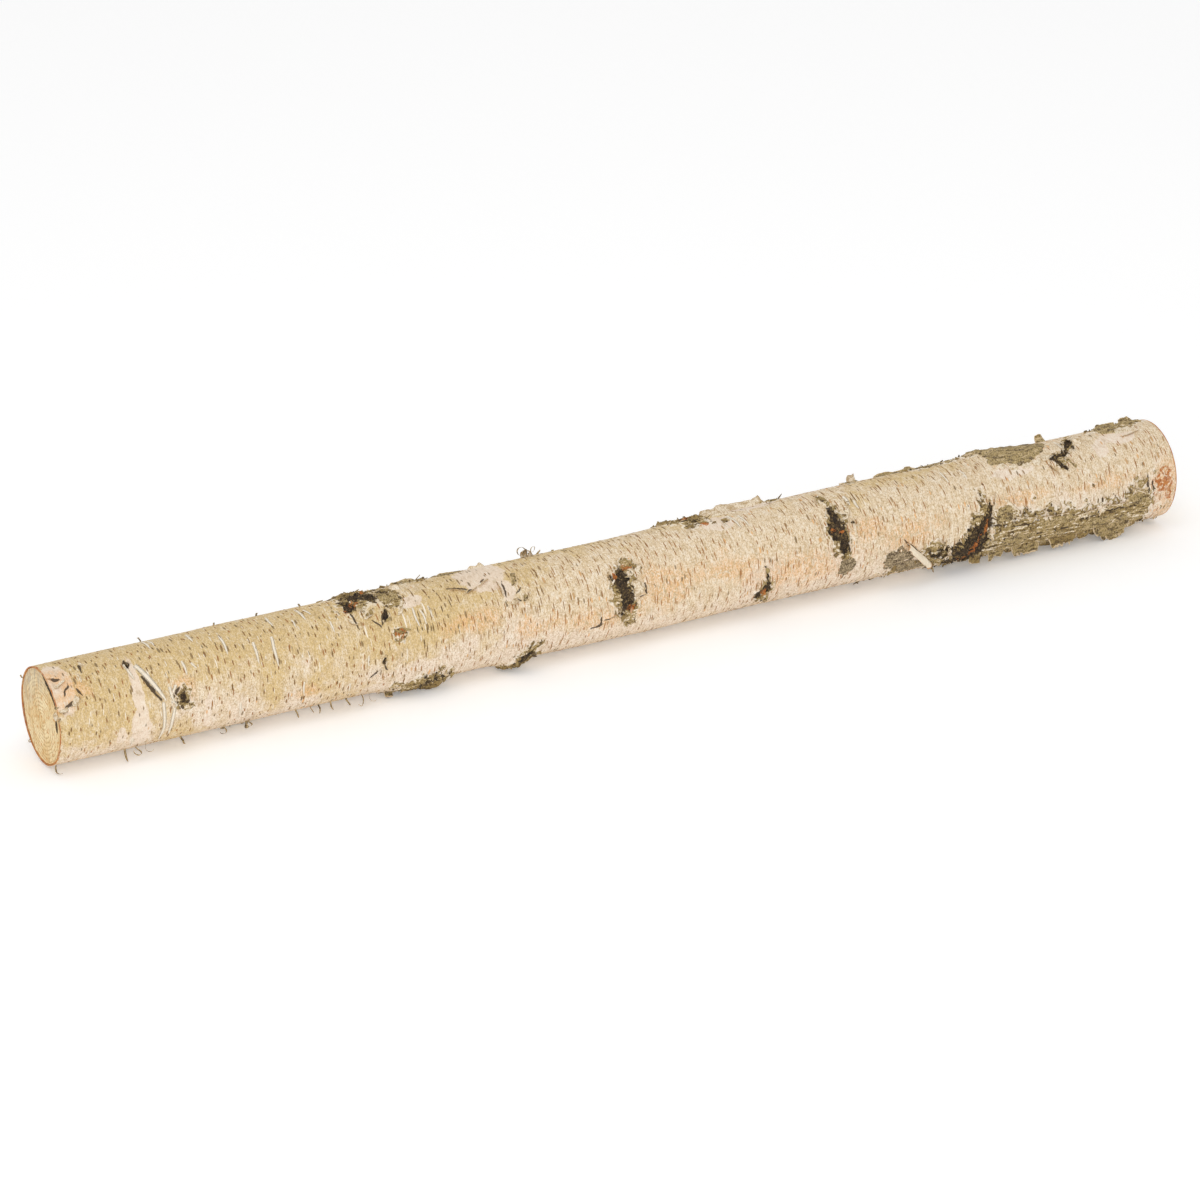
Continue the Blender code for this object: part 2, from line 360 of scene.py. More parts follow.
def bark_fields(along, turn):
    """Every field of the bark at each place: its height over the plain radius and its zones, 0 to 1.

    The height is swells, ripples, flakes and lumps, with cracked and crumbly crust, lips round cores and
    crust, sunken cores, slits and peeled places. The zone khaki is the film of algae: it falls with the
    distance along and grows with noise, with the marks of film and on the upper side. Under the log it is
    painted shade: the under side is tinted towards khaki to stand in for the shade beneath the log.
    """
    pushed = warped(along, turn)
    zones = {kind: mark(*pushed, kind) for kind in MARKS}
    relief = SWELL_HEIGHT * grown(along, turn, "swell") + RIPPLE_HEIGHT * grown(along, turn, "ripple")
    height = MM * (relief + FLAKE_HEIGHT * grown(along, turn, "flakes"))
    lump_wave = 1.0 + 0.3 * grown(along, turn, "lumpy")
    for row in LUMPS:
        reach = 3.0 * row[2] * MM
        if along.min() - reach < row[0] < along.max() + reach:
            height = height + MM * row[4] * np.exp(-(oval_distance(along, turn, *row[:4]) ** 2)) * lump_wave
    cracks = 1.0 - 2.0 * np.abs(grown(along, turn, "cracks"))
    crumbs = grown(along, turn, "crumbs")
    core, crust = zones["core"], zones["crust"]
    lips = np.exp(-(((core - 0.36) / 0.09) ** 2)) + 0.5 * np.exp(-(((crust - 0.46) / 0.05) ** 2))
    rough = CRUST_HEIGHT + CRACK_HEIGHT * cracks + CRUMB_HEIGHT * crumbs
    height = height + MM * eased(*CRUST_EDGE, crust) * rough
    sunken = eased(*CORE_EDGE, core) * (CORE_DEPTH - CORE_CRUMBS * crumbs)
    height = height + MM * (LIP_HEIGHT * lips - sunken)
    slits = SLIT_DEPTH * eased(*SLIT_EDGE, zones["slit"])
    height = height - MM * (slits + FRESH_DEPTH * eased(*FRESH_EDGE, zones["fresh"]))
    upward = np.cos(np.radians(turn - 5.0))
    drift = grown(along, turn, "drift")
    khaki = 0.10 + (0.30 - along) + 0.34 * drift + 0.65 * zones.pop("film") + 0.34 * upward
    # Painted shade: from these turns down, the under side is tinted towards khaki to stand in for the shade
    # beneath the log
    under = 0.42 * eased(*SHADED_UNDER_SIDE, np.abs(signed_turn(turn)))
    zones["khaki"] = np.clip(np.maximum(khaki, under), 0.0, 1.0)
    zones["pale"] = np.clip(0.5 + 0.6 * grown(along, turn, "blush") - 0.5 * upward, 0.0, 1.0)
    rim = np.minimum(along, LENGTH - along) / (RIM_WIDTH * (1.0 + 0.9 * grown(along, turn, "frayed rim")))
    zones["rim"] = 1.0 - 0.5 * np.clip(rim, 0.0, 2.0)
    return height, zones


def bark_height(along, turn):
    """Only the height of the bark."""
    return bark_fields(along, turn)[0]


def on_log(along, turn, height):
    """Points at each place, a height above the plain bark: x along, y and z round the pith."""
    angle = np.radians(turn)
    radius = taper(along) + OVAL * np.cos(2.0 * angle - math.radians(OVAL_LEAN)) + height
    side, up = heart(along)
    x = LOG_LOW[0] + along + 0.0 * angle
    y = side - radius * np.sin(angle)
    z = np.maximum(up + radius * np.cos(angle), FLOOR_GAP)
    return np.stack(np.broadcast_arrays(x, y, z), axis=-1)


# ---- Meshes from arrays ----


def grid_faces(rows, columns, wrap):
    """Four-sided faces between neighbouring rows and columns, the last column joined to the first if wrap."""
    row = np.arange(rows - 1)[:, None] * columns
    column = np.arange(columns if wrap else columns - 1)[None, :]
    ahead = (column + 1) % columns
    corners = (row + column, row + ahead, row + columns + ahead, row + columns + column)
    return np.stack([np.broadcast_to(c, (rows - 1, column.size)) for c in corners], axis=-1).reshape(-1, 4)


def fan_faces(loop, pole):
    """Triangles from each edge of a closed loop of vertices to one pole vertex."""
    return np.stack([loop, np.roll(loop, -1), np.full_like(loop, pole)], axis=-1)


def tube_faces(rows, columns):
    """Faces of a tube of wrapped rings, and of the fans that close it to two poles numbered after them."""
    quads = grid_faces(rows, columns, True)
    first = np.arange(columns)
    last = first + (rows - 1) * columns
    pole = rows * columns
    return quads, np.concatenate([fan_faces(first[::-1], pole), fan_faces(last, pole + 1)])


def shell_faces(rows, columns):
    """Faces of a closed thin shell: an upper grid, a lower grid after it, and strips joining their edges."""
    upper = grid_faces(rows, columns, False)
    index = np.arange(rows * columns).reshape(rows, columns)
    loop = np.concatenate([index[0, :-1], index[:-1, -1], index[-1, :0:-1], index[:0:-1, 0]])
    ahead = np.roll(loop, -1)
    below = rows * columns
    strips = np.stack([loop, loop + below, ahead + below, ahead], axis=-1)
    return np.concatenate([upper, upper[:, ::-1] + below, strips])


def copies(quads, triangles, count, size):
    """The same faces for a count of like shapes, each with its own run of vertices."""
    shift = np.arange(count)[:, None, None] * size
    return (quads[None] + shift).reshape(-1, 4), (triangles[None] + shift).reshape(-1, 3)


def outward(points, quads, triangles):
    """The same faces, all turned over if the volume that they close comes out negative."""
    fans = np.concatenate([quads[:, [0, 1, 2]], quads[:, [0, 2, 3]], triangles])
    a, b, c = (points[fans[:, corner]] for corner in range(3))
    if np.einsum("ij,ij->", a - points[0], np.cross(b - points[0], c - points[0])) < 0.0:
        return quads[:, ::-1], triangles[:, ::-1]
    return quads, triangles


def join_parts(parts):
    """Stacks the points, faces and zone values of several parts into one set of arrays."""
    points, quads, triangles, zones, count = [], [], [], {}, 0
    for part_points, part_quads, part_triangles, part_zones in parts:
        part_quads, part_triangles = outward(part_points, part_quads, part_triangles)
        points.append(part_points)
        quads.append(part_quads + count)
        triangles.append(part_triangles + count)
        for name, values in part_zones.items():
            zones.setdefault(name, []).append(values)
        count += len(part_points)
    zones = {name: np.concatenate(values) for name, values in zones.items()}
    return np.concatenate(points), np.concatenate(quads), np.concatenate(triangles), zones


NO_FACES = np.zeros((0, 3), dtype=np.int64)


def make_piece(name, points, quads, triangles, zones, material, slot, flat_fans=False):
    """Puts whole arrays of points, faces and zone values into a new mesh object that rides on the log."""
    mesh = bpy.data.meshes.new(name)
    corners = np.concatenate([quads.reshape(-1), triangles.reshape(-1)]).astype(np.int32)
    starts = np.concatenate([np.arange(len(quads)) * 4, len(quads) * 4 + np.arange(len(triangles)) * 3])
    mesh.vertices.add(len(points))
    mesh.vertices.foreach_set("co", np.ascontiguousarray(points, dtype=np.float32).reshape(-1))
    mesh.loops.add(len(corners))
    mesh.loops.foreach_set("vertex_index", corners)
    mesh.polygons.add(len(starts))
    mesh.polygons.foreach_set("loop_start", starts.astype(np.int32))
    mesh.polygons.foreach_set("use_smooth", np.arange(len(starts)) < len(starts) - flat_fans * len(triangles))
    mesh.update(calc_edges=True)
    mesh.validate()
    for zone_name, values in zones.items():
        layer = mesh.attributes.new(zone_name, "FLOAT", "POINT")
        layer.data.foreach_set("value", np.ascontiguousarray(values, dtype=np.float32).reshape(-1))
    mesh.materials.append(material)
    piece = bpy.data.objects.new(name, mesh)
    bpy.context.scene.collection.objects.link(piece)
    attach(piece, "root")
    return piece


# ---- Node wiring ----


def wire(tree, node, inputs):
    """Links or sets a node's inputs by name or number."""
    for key, value in inputs.items():
        if isinstance(value, bpy.types.NodeSocket):
            tree.links.new(value, node.inputs[key])
        else:
            node.inputs[key].default_value = value


def put(tree, kind, inputs=None, **settings):
    """Adds a node, sets its settings, and links or sets its inputs."""
    node = tree.nodes.new(kind)
    for key, value in settings.items():
        setattr(node, key, value)
    wire(tree, node, inputs or {})
    return node


def sums(tree, operation, *values):
    """A Math node's result."""
    return put(tree, "ShaderNodeMath", dict(enumerate(values)), operation=operation).outputs[0]


def rgb(colour):
    """What a colour socket takes: a link as it is, and a colour property as four numbers."""
    return colour if isinstance(colour, bpy.types.NodeSocket) else (*colour, 1.0)


def tint(tree, share, first, second):
    """A colour mixed from first towards second by share."""
    inputs = {0: share, 6: rgb(first), 7: rgb(second)}
    return put(tree, "ShaderNodeMix", inputs, data_type="RGBA").outputs[2]


def zone(tree, name):
    """The piece's own zone value."""
    return put(tree, "ShaderNodeAttribute", attribute_name=name).outputs["Fac"]


def spread(tree, value, low, high, to_low=0.0, to_high=1.0):
    """Maps low..high onto to_low..to_high with a smooth S."""
    inputs = {0: value, 1: low, 2: high, 3: to_low, 4: to_high}
    return put(tree, "ShaderNodeMapRange", inputs, interpolation_type="SMOOTHSTEP").outputs[0]


def ramp(tree, value, stops):
    """A colour picked along a row of stops, each a place and a colour."""
    node = put(tree, "ShaderNodeValToRGB", {0: value})
    elements = node.color_ramp.elements
    for number, (place, colour) in enumerate(stops):
        element = elements[number] if number < 2 else elements.new(place)
        element.position = place
        element.color = rgb(colour)
    return node.outputs[0]


def noise(tree, vector, scale, detail=3.0, roughness=0.5):
    """Noise from 0 to 1, scale of its waves to a metre."""
    inputs = {"Vector": vector, "Scale": scale, "Detail": detail, "Roughness": roughness}
    return put(tree, "ShaderNodeTexNoise", inputs).outputs["Fac"]


def grain(tree, vector, along, around, detail=3.0, roughness=0.62, shift=0.0):
    """Noise with one grain size along the log and one across it, in metres."""
    inputs = {"Vector": vector, "Scale": (1.0 / along, 1.0 / around, 1.0 / around), "Location": [shift] * 3}
    return noise(tree, put(tree, "ShaderNodeMapping", inputs).outputs[0], 1.0, detail, roughness)


def new_group(name, inputs, outputs):
    """A shader node group with named outputs of given kinds, and inputs: numbers, or a vector where None."""
    group = bpy.data.node_groups.new(name, "ShaderNodeTree")
    for title, value in inputs.items():
        kind = "NodeSocketVector" if value is None else "NodeSocketFloat"
        socket = group.interface.new_socket(title, in_out="INPUT", socket_type=kind)
        if value is not None:
            socket.default_value = value
    for title, kind in outputs.items():
        group.interface.new_socket(title, in_out="OUTPUT", socket_type=kind)
    return group, group.nodes.new("NodeGroupInput").outputs, group.nodes.new("NodeGroupOutput").inputs


def use_group(tree, name, inputs):
    """Places a shared group in a material with its own values."""
    node = tree.nodes.new("ShaderNodeGroup")
    node.node_tree = bpy.data.node_groups[name]
    wire(tree, node, inputs)
    return node.outputs


def build_ragged_edge():
    """Group: turns a soft zone value into a frayed mask, crisp at 0.5 and roughened by fine noise."""
    inputs = {"Vector": None, "Zone": 0.0, "Fray": 0.3, "Scale": 220.0, "Softness": 0.06}
    group, given, out = new_group("Ragged edge", inputs, {"Mask": "NodeSocketFloat"})
    rough = sums(group, "SUBTRACT", noise(group, given["Vector"], given["Scale"], 4.0, 0.6), 0.5)
    lifted = sums(group, "MULTIPLY_ADD", rough, given["Fray"], given["Zone"])
    low = sums(group, "SUBTRACT", 0.5, given["Softness"])
    high = sums(group, "ADD", 0.5, given["Softness"])
    group.links.new(spread(group, lifted, low, high), out["Mask"])


def build_dashes():
    """Group: short dashes across the grain, one to a stretched cell, of random size and tone."""
    inputs = {"Vector": None, "Along": 0.003, "Around": 0.016, "Amount": 0.5, "Size": 0.3, "Softness": 0.05}
    outputs = {"Mask": "NodeSocketFloat", "Tone": "NodeSocketFloat"}
    group, given, out = new_group("Bark dashes", inputs, outputs)
    scales = [sums(group, "DIVIDE", 1.0, given[name]) for name in ("Along", "Around", "Around")]
    scale = put(group, "ShaderNodeCombineXYZ", dict(enumerate(scales))).outputs[0]
    wobble = put(group, "ShaderNodeTexNoise", {"Vector": given["Vector"], "Scale": 90.0, "Detail": 2.0})
    inputs = {0: wobble.outputs["Color"], 1: (0.0016, 0.0, 0.0), 2: given["Vector"]}
    bent = put(group, "ShaderNodeVectorMath", inputs, operation="MULTIPLY_ADD").outputs[0]
    cells = put(group, "ShaderNodeVectorMath", {0: bent, 1: scale}, operation="MULTIPLY").outputs[0]
    dots = put(group, "ShaderNodeTexVoronoi", {"Vector": cells, "Scale": 1.0}, feature="F1").outputs
    chance = put(group, "ShaderNodeSeparateColor", {0: dots["Color"]}).outputs
    present = sums(group, "GREATER_THAN", given["Amount"], chance[0])
    size = sums(group, "MULTIPLY", given["Size"], sums(group, "MULTIPLY_ADD", chance[1], 0.7, 0.3))
    edge = sums(group, "SUBTRACT", size, dots["Distance"])
    mask = sums(group, "MULTIPLY", spread(group, edge, 0.0, given["Softness"]), present)
    group.links.new(mask, out["Mask"])
    group.links.new(chance[2], out["Tone"])


def build_crumb_colours(colours):
    """Group: from a tone, the colour of broken bark, from black cracks through brown and olive to cream."""
    group, given, out = new_group("Crumb colours", {"Tone": 0.5}, {"Color": "NodeSocketColor"})
    stops = (
        (0.0, colours.scar),
        (0.30, colours.crust_dark),
        (0.52, colours.crust),
        (0.74, colours.olive),
        (0.90, colours.cream),
        (1.0, colours.chalk),
    )
    group.links.new(ramp(group, given["Tone"], stops), out["Color"])


def new_material(name):
    """A new material with its node tree."""
    material = bpy.data.materials.new(name)
    material.use_nodes = True
    return material, material.node_tree


def coordinates(tree):
    """The piece's own coordinates, in metres."""
    return put(tree, "ShaderNodeTexCoord").outputs["Object"]


def surface(tree, base, roughness, relief=None, strength=0.0, distance=0.0005):
    """Gives a material's shader its colour, its roughness and, if there is one, its relief in metres."""
    inputs = {"Base Color": base, "Roughness": roughness}
    if relief is not None:
        bump = put(tree, "ShaderNodeBump", {"Strength": strength, "Distance": distance, "Height": relief})
        inputs["Normal"] = bump.outputs[0]
    wire(tree, tree.nodes["Principled BSDF"], inputs)


def bark_material(colours):
    """Birch bark: mottled cream, pink and khaki paper with dashes, stains, rough crust, scars and rust."""
    material, tree = new_material("birch_bark")
    vector = coordinates(tree)

    def both(first, second):
        return sums(tree, "MULTIPLY", first, second)

    def edge(name, fray, scale, softness):
        inputs = {"Zone": zone(tree, name), "Fray": fray, "Scale": scale, "Softness": softness}
        return use_group(tree, "Ragged edge", {"Vector": vector, **inputs})["Mask"]

    def dashes(along, around, amount, size, softness):
        inputs = {"Along": along, "Around": around, "Amount": amount, "Size": size, "Softness": softness}
        return use_group(tree, "Bark dashes", {"Vector": vector, **inputs})

    def crumbs(tone):
        return use_group(tree, "Crumb colours", {"Tone": tone})["Color"]

    mottle = grain(tree, vector, 0.010, 0.016, 5.0)
    streak = grain(tree, vector, 0.0012, 0.0085, 3.0, 0.65, 3.0)
    speck = grain(tree, vector, 0.0010, 0.0015, 3.0, 0.70, 7.0)
    patch = grain(tree, vector, 0.0042, 0.0060, 3.0, 0.65, 5.0)

    # Paper: cream and pink, with a film of algae, painted shade in khaki under the log, peeled places and
    # stains
    pale = sums(tree, "ADD", zone(tree, "pale"), sums(tree, "SUBTRACT", mottle, 0.5))
    base = tint(tree, spread(tree, pale, 0.25, 0.75), colours.cream, colours.pink)
    khaki = edge("khaki", 0.9, 120.0, 0.30)
    base = tint(tree, khaki, base, colours.khaki)
    fresh = edge("fresh", 0.16, 300.0, 0.03)
    base = tint(tree, both(fresh, 0.85), base, colours.fresh)
    stain = both(spread(tree, zone(tree, "stain"), 0.25, 0.85), spread(tree, patch, 0.30, 0.56))
    base = tint(tree, both(stain, 0.80), base, colours.stain)

    # Each grain darkens the paper where it is low and lightens it where it is high, less on peeled places and
    # on the khaki of algae and of the painted under-side shade: (grain, value where it starts, value where it
    # is full, strength, share, colour)
    quiet = sums(tree, "MULTIPLY_ADD", fresh, -0.70, 1.0)
    chalky = sums(tree, "MULTIPLY_ADD", khaki, -0.50, 1.0)
    for grains, start, full, strength, share, colour in (
        (patch, 0.47, 0.33, 0.44, 1.0, colours.tan),
        (patch, 0.53, 0.66, 0.50, chalky, colours.chalk),
        (speck, 0.49, 0.37, 0.80, quiet, colours.tan),
        (speck, 0.52, 0.63, 0.75, chalky, colours.chalk),
        (streak, 0.47, 0.35, 0.44, quiet, colours.tan),
        (streak, 0.55, 0.66, 0.44, chalky, colours.chalk),
    ):
        base = tint(tree, both(spread(tree, grains, start, full, 0.0, strength), share), base, colour)

    # Fine dark dashes everywhere, and white flecks on the khaki of algae and of the painted under-side shade
    fine = dashes(0.0034, 0.0105, 0.75, 0.34, 0.10)
    dash_tone = both(fine["Tone"], sums(tree, "SUBTRACT", 1.15, khaki))
    dash_colour = tint(tree, dash_tone, colours.lenticel, colours.stain)
    base = tint(tree, both(fine["Mask"], 0.85), base, dash_colour)
    flecks = dashes(0.0024, 0.0240, 0.10, 0.36, 0.05)
    base = tint(tree, both(flecks["Mask"], both(khaki, 0.9)), base, colours.chalk)

    # Crust with a pale lip, the cores of scars, rust, the rim at the saw cuts and slits
    crust = edge("crust", 0.35, 300.0, 0.03)
    lip = sums(tree, "ADD", zone(tree, "crust"), sums(tree, "MULTIPLY_ADD", patch, 0.4, -0.2))
    base = tint(tree, both(spread(tree, lip, 0.36, 0.44), 0.55), base, colours.chalk)
    flakes = put(tree, "ShaderNodeTexVoronoi", {"Vector": vector, "Scale": 480.0}, feature="F1")
    flake_tone = put(tree, "ShaderNodeSeparateColor", {0: flakes.outputs["Color"]}).outputs[0]
    layers = grain(tree, vector, 0.0110, 0.0024, 4.0, 0.68, 9.0)
    tone = sums(tree, "MULTIPLY_ADD", flake_tone, 0.26, sums(tree, "MULTIPLY_ADD", layers, 2.4, -0.62))
    tone = sums(tree, "MULTIPLY_ADD", spread(tree, speck, 0.50, 0.36), -0.35, tone)
    base = tint(tree, crust, base, crumbs(tone))
    core = edge("core", 0.35, 360.0, 0.04)
    core_tone = sums(tree, "MULTIPLY_ADD", flake_tone, 0.34, sums(tree, "MULTIPLY_ADD", speck, 0.9, -0.40))
    base = tint(tree, core, base, crumbs(core_tone))
    rust = both(edge("rust", 0.9, 420.0, 0.08), spread(tree, flake_tone, 0.16, 0.52))
    stops = ((0.20, colours.crust_dark), (0.42, colours.rust), (0.75, colours.rust_pale))
    base = tint(tree, rust, base, ramp(tree, sums(tree, "MULTIPLY_ADD", speck, 1.3, -0.15), stops))
    rim = both(edge("rim", 0.9, 260.0, 0.12), spread(tree, mottle, 0.36, 0.52, 0.35, 1.0))
    base = tint(tree, rim, base, tint(tree, spread(tree, patch, 0.40, 0.60), colours.rust, colours.rust_pale))
    base = tint(tree, both(edge("slit", 0.35, 500.0, 0.05), 0.95), base, colours.crust_dark)

    worn = sums(tree, "MAXIMUM", crust, core)
    relief = sums(tree, "MULTIPLY_ADD", streak, 0.5, both(speck, 1.1))
    relief = sums(tree, "MULTIPLY_ADD", fine["Mask"], 0.5, relief)
    relief = sums(tree, "MULTIPLY_ADD", both(flake_tone, worn), 1.6, relief)
    surface(tree, base, spread(tree, worn, 0.0, 1.0, 0.60, 0.92), relief, 0.9)
    return material


def sawn_material(colours):
    """Sawn birch: growth rings round the pith, saw streaks, a weathered side, cracks and gaps painted dark as
    their shade, and a rusty rim.
    """
    material, tree = new_material("sawn_birch")
    vector = coordinates(tree)
    wobble = noise(tree, vector, 70.0)
    fine = noise(tree, vector, 800.0)
    knots = noise(tree, vector, 330.0)
    saw = put(tree, "ShaderNodeMapping", {"Vector": vector, "Scale": (1.0, 900.0, 90.0)}).outputs[0]
    streaks = noise(tree, saw, 1.0)
    rings = sums(tree, "MULTIPLY_ADD", wobble, RING_WOBBLE, zone(tree, "radial"))
    phase = sums(tree, "FRACT", sums(tree, "DIVIDE", rings, RING_WIDTH))
    late = sums(tree, "MULTIPLY", spread(tree, phase, 0.35, 0.80), spread(tree, phase, 1.0, 0.88))
    late = sums(tree, "MULTIPLY", late, spread(tree, fine, 0.34, 0.62, 0.10, 0.85))
    grey = sums(tree, "MULTIPLY", zone(tree, "grey"), spread(tree, streaks, 0.62, 0.42, 0.15, 0.95))
    rim = spread(tree, sums(tree, "MULTIPLY_ADD", fine, 0.5, zone(tree, "rim")), 0.85, 1.05)
    inputs = {"Vector": vector, "Zone": zone(tree, "gap"), "Fray": 0.9, "Scale": 420.0, "Softness": 0.16}
    gap = use_group(tree, "Ragged edge", inputs)["Mask"]
    # Painted shade: the gaps where bark has come loose, and the wedge, are coloured from near black to brown
    # to stand in for the shade inside them
    painted_gap_shade = ramp(tree, fine, ((0.36, colours.scar), (0.56, colours.crust_dark), (0.72, colours.crust)))
    base = tint(tree, spread(tree, wobble, 0.35, 0.65), colours.wood, colours.wood_pale)
    for share, colour in (
        (late, colours.wood_dark),
        (spread(tree, streaks, 0.54, 0.66, 0.0, 0.6), colours.wood_pale),
        (spread(tree, streaks, 0.46, 0.34, 0.0, 0.5), colours.wood_dark),
        (spread(tree, knots, 0.56, 0.66, 0.0, 0.75), colours.rust_pale),
        (grey, colours.wood_grey),
        (rim, colours.rust_pale),
        (gap, painted_gap_shade),
    ):
        base = tint(tree, share, base, colour)
    surface(tree, base, 0.85, sums(tree, "MULTIPLY_ADD", streaks, 1.2, fine), 0.7, 0.0004)
    return material


def detail_material(name, upper, lower, rim, shade, chalk, roughness):
    """Two-sided torn bark: upper and under colours, a broken rim, dark as painted shadow or pale, and grain
    that darkens and lightens it.
    """
    material, tree = new_material(name)
    vector = coordinates(tree)
    coarse = grain(tree, vector, 0.0090, 0.0030, 4.0)
    fine = grain(tree, vector, 0.0009, 0.0018, 3.0, 0.7, 4.0)
    torn = sums(tree, "MULTIPLY_ADD", coarse, 0.8, zone(tree, "edge"))
    base = tint(tree, zone(tree, "under"), upper, lower)
    for value, start, full, strength, colour in (
        (coarse, 0.51, 0.38, 0.80, shade),
        (coarse, 0.54, 0.66, 0.45, chalk),
        (fine, 0.50, 0.38, 0.85, shade),
        (fine, 0.54, 0.64, 0.60, chalk),
        # Painted shadow where the rim colour is dark: the line along the torn border stands in for the shadow
        # under it; a pale rim colour is the torn edge's own
        (torn, 1.10, 1.22, 0.85, rim),
    ):
        base = tint(tree, spread(tree, value, start, full, 0.0, strength), base, colour)
    surface(tree, base, roughness, fine, 0.8)
    return material


def crumb_material(name, colours, first, second):
    """Small pieces with a tone each: pores from first to second, or chips of bark with second as rust."""
    material, tree = new_material(name)
    vector = coordinates(tree)
    fine = noise(tree, vector, 900.0, 2.0)
    tone = zone(tree, "tone")
    if first is None:
        tone = sums(tree, "MULTIPLY_ADD", fine, 0.3, sums(tree, "SUBTRACT", tone, 0.15))
        base = use_group(tree, "Crumb colours", {"Tone": tone})["Color"]
        base = tint(tree, zone(tree, "rusty"), base, second)
    else:
        base = tint(tree, tone, first, second)
    base = tint(tree, spread(tree, fine, 0.50, 0.75, 0.0, 0.45), base, colours.tan)
    surface(tree, base, 0.88)
    return material


# ---- Details that stand on the bark ----

# Torn sheets: rows to a mm of width and their limits, how fast the slope grows, how much it wavers in
# degrees, and how deep the hinge lies in the bark
ROWS_PER_MM = 1.3
FEWEST_AND_MOST_ROWS = (7, 41)
ROLL_POWER = 1.6
CRUMPLE = 14.0
HINGE_DEPTH = 0.3 * MM

# Plates and fibres: power of a plate's outline, and how deep their feet lie in the bark
SQUARENESS = 2.8
PLATE_FOOT = 1.2 * MM
FIBRE_DEPTH = 0.05 * MM

# Pores and chips: distance that they keep from the saw cuts, stations or corners, and a pore's height and
# depth
PORE_MARGIN = 0.006
PORE_STATIONS = 5
PORE_HEIGHT = 0.00022
PORE_DEPTH = 0.00006
CHIP_MARGIN = 0.004
CHIP_CORNERS = 5


def round_log(place, lengthwise, crosswise, heading=0.0):
    """Distance along and turn of places given in metres along and across a heading at one place."""
    lean = math.radians(heading)
    ahead = lengthwise * math.cos(lean) - crosswise * math.sin(lean)
    aside = lengthwise * math.sin(lean) + crosswise * math.cos(lean)
    return place[0] + ahead, place[1] + np.degrees(aside / taper(place[0]))


def ground_at(along, turn):
    """Height of the bark, with the log's ends carried on beyond the saw cuts."""
    return bark_height(np.clip(along, 0.0, LENGTH), turn)


def peel(place, heading, width, reach, lift, roll, narrowing, seed, thickness, fray=0.28, columns=25):
    """A torn sheet of bark, closed, hinged on a line and curling away from the bark.

    From the hinge the sheet runs along its heading. Its slope starts at lift and grows by roll with the power
    1.6 of the way out; the way travelled and the height are the running sums of the slope's cosine and sine.
    Sizes are in mm and angles in degrees. The tip narrows and both its edges are frayed by noise. The under
    side carries the zone under, and the torn borders the zone edge.
    """
    rows = int(np.clip(width * ROWS_PER_MM, *FEWEST_AND_MOST_ROWS)) | 1
    across = np.linspace(-1.0, 1.0, rows)[:, None]
    out = np.linspace(0.0, 1.0, columns)[None, :]
    ragged = layered_noise(across * width / 14.0, out * reach / 5.0, 0.0 * out, seed, 2)
    tip = 1.0 + fray * 1.8 * layered_noise(across * width / 20.0, 0.0 * out, 0.0 * out + 0.5, seed + 1, 3)
    slope = np.radians(lift + roll * out**ROLL_POWER + CRUMPLE * ragged)
    step = reach * MM / (columns - 1) * tip
    travelled = (np.cumsum(np.cos(slope), axis=1) - np.cos(slope[:, :1])) * step
    height = (np.cumsum(np.sin(slope), axis=1) - np.sin(slope[:, :1])) * step
    half = width * MM / 2.0 * (1.0 - narrowing * out**2) * (1.0 + 0.5 * fray * ragged * out)
    layers = []
    for side in (0.5, -0.5):
        offset = side * thickness * MM * (1.0 - 0.6 * out)
        along, turn = round_log(place, travelled - np.sin(slope) * offset, across * half, heading)
        ground = ground_at(along, turn) - HINGE_DEPTH
        layers.append(on_log(along, turn, ground + height + np.cos(slope) * offset).reshape(-1, 3))
    edge = np.maximum(np.abs(across) ** 5, out**5).reshape(-1)
    zones = {"under": np.repeat([0.0, 1.0], rows * columns), "edge": np.tile(edge, 2)}
    return np.concatenate(layers), shell_faces(rows, columns), NO_FACES, zones


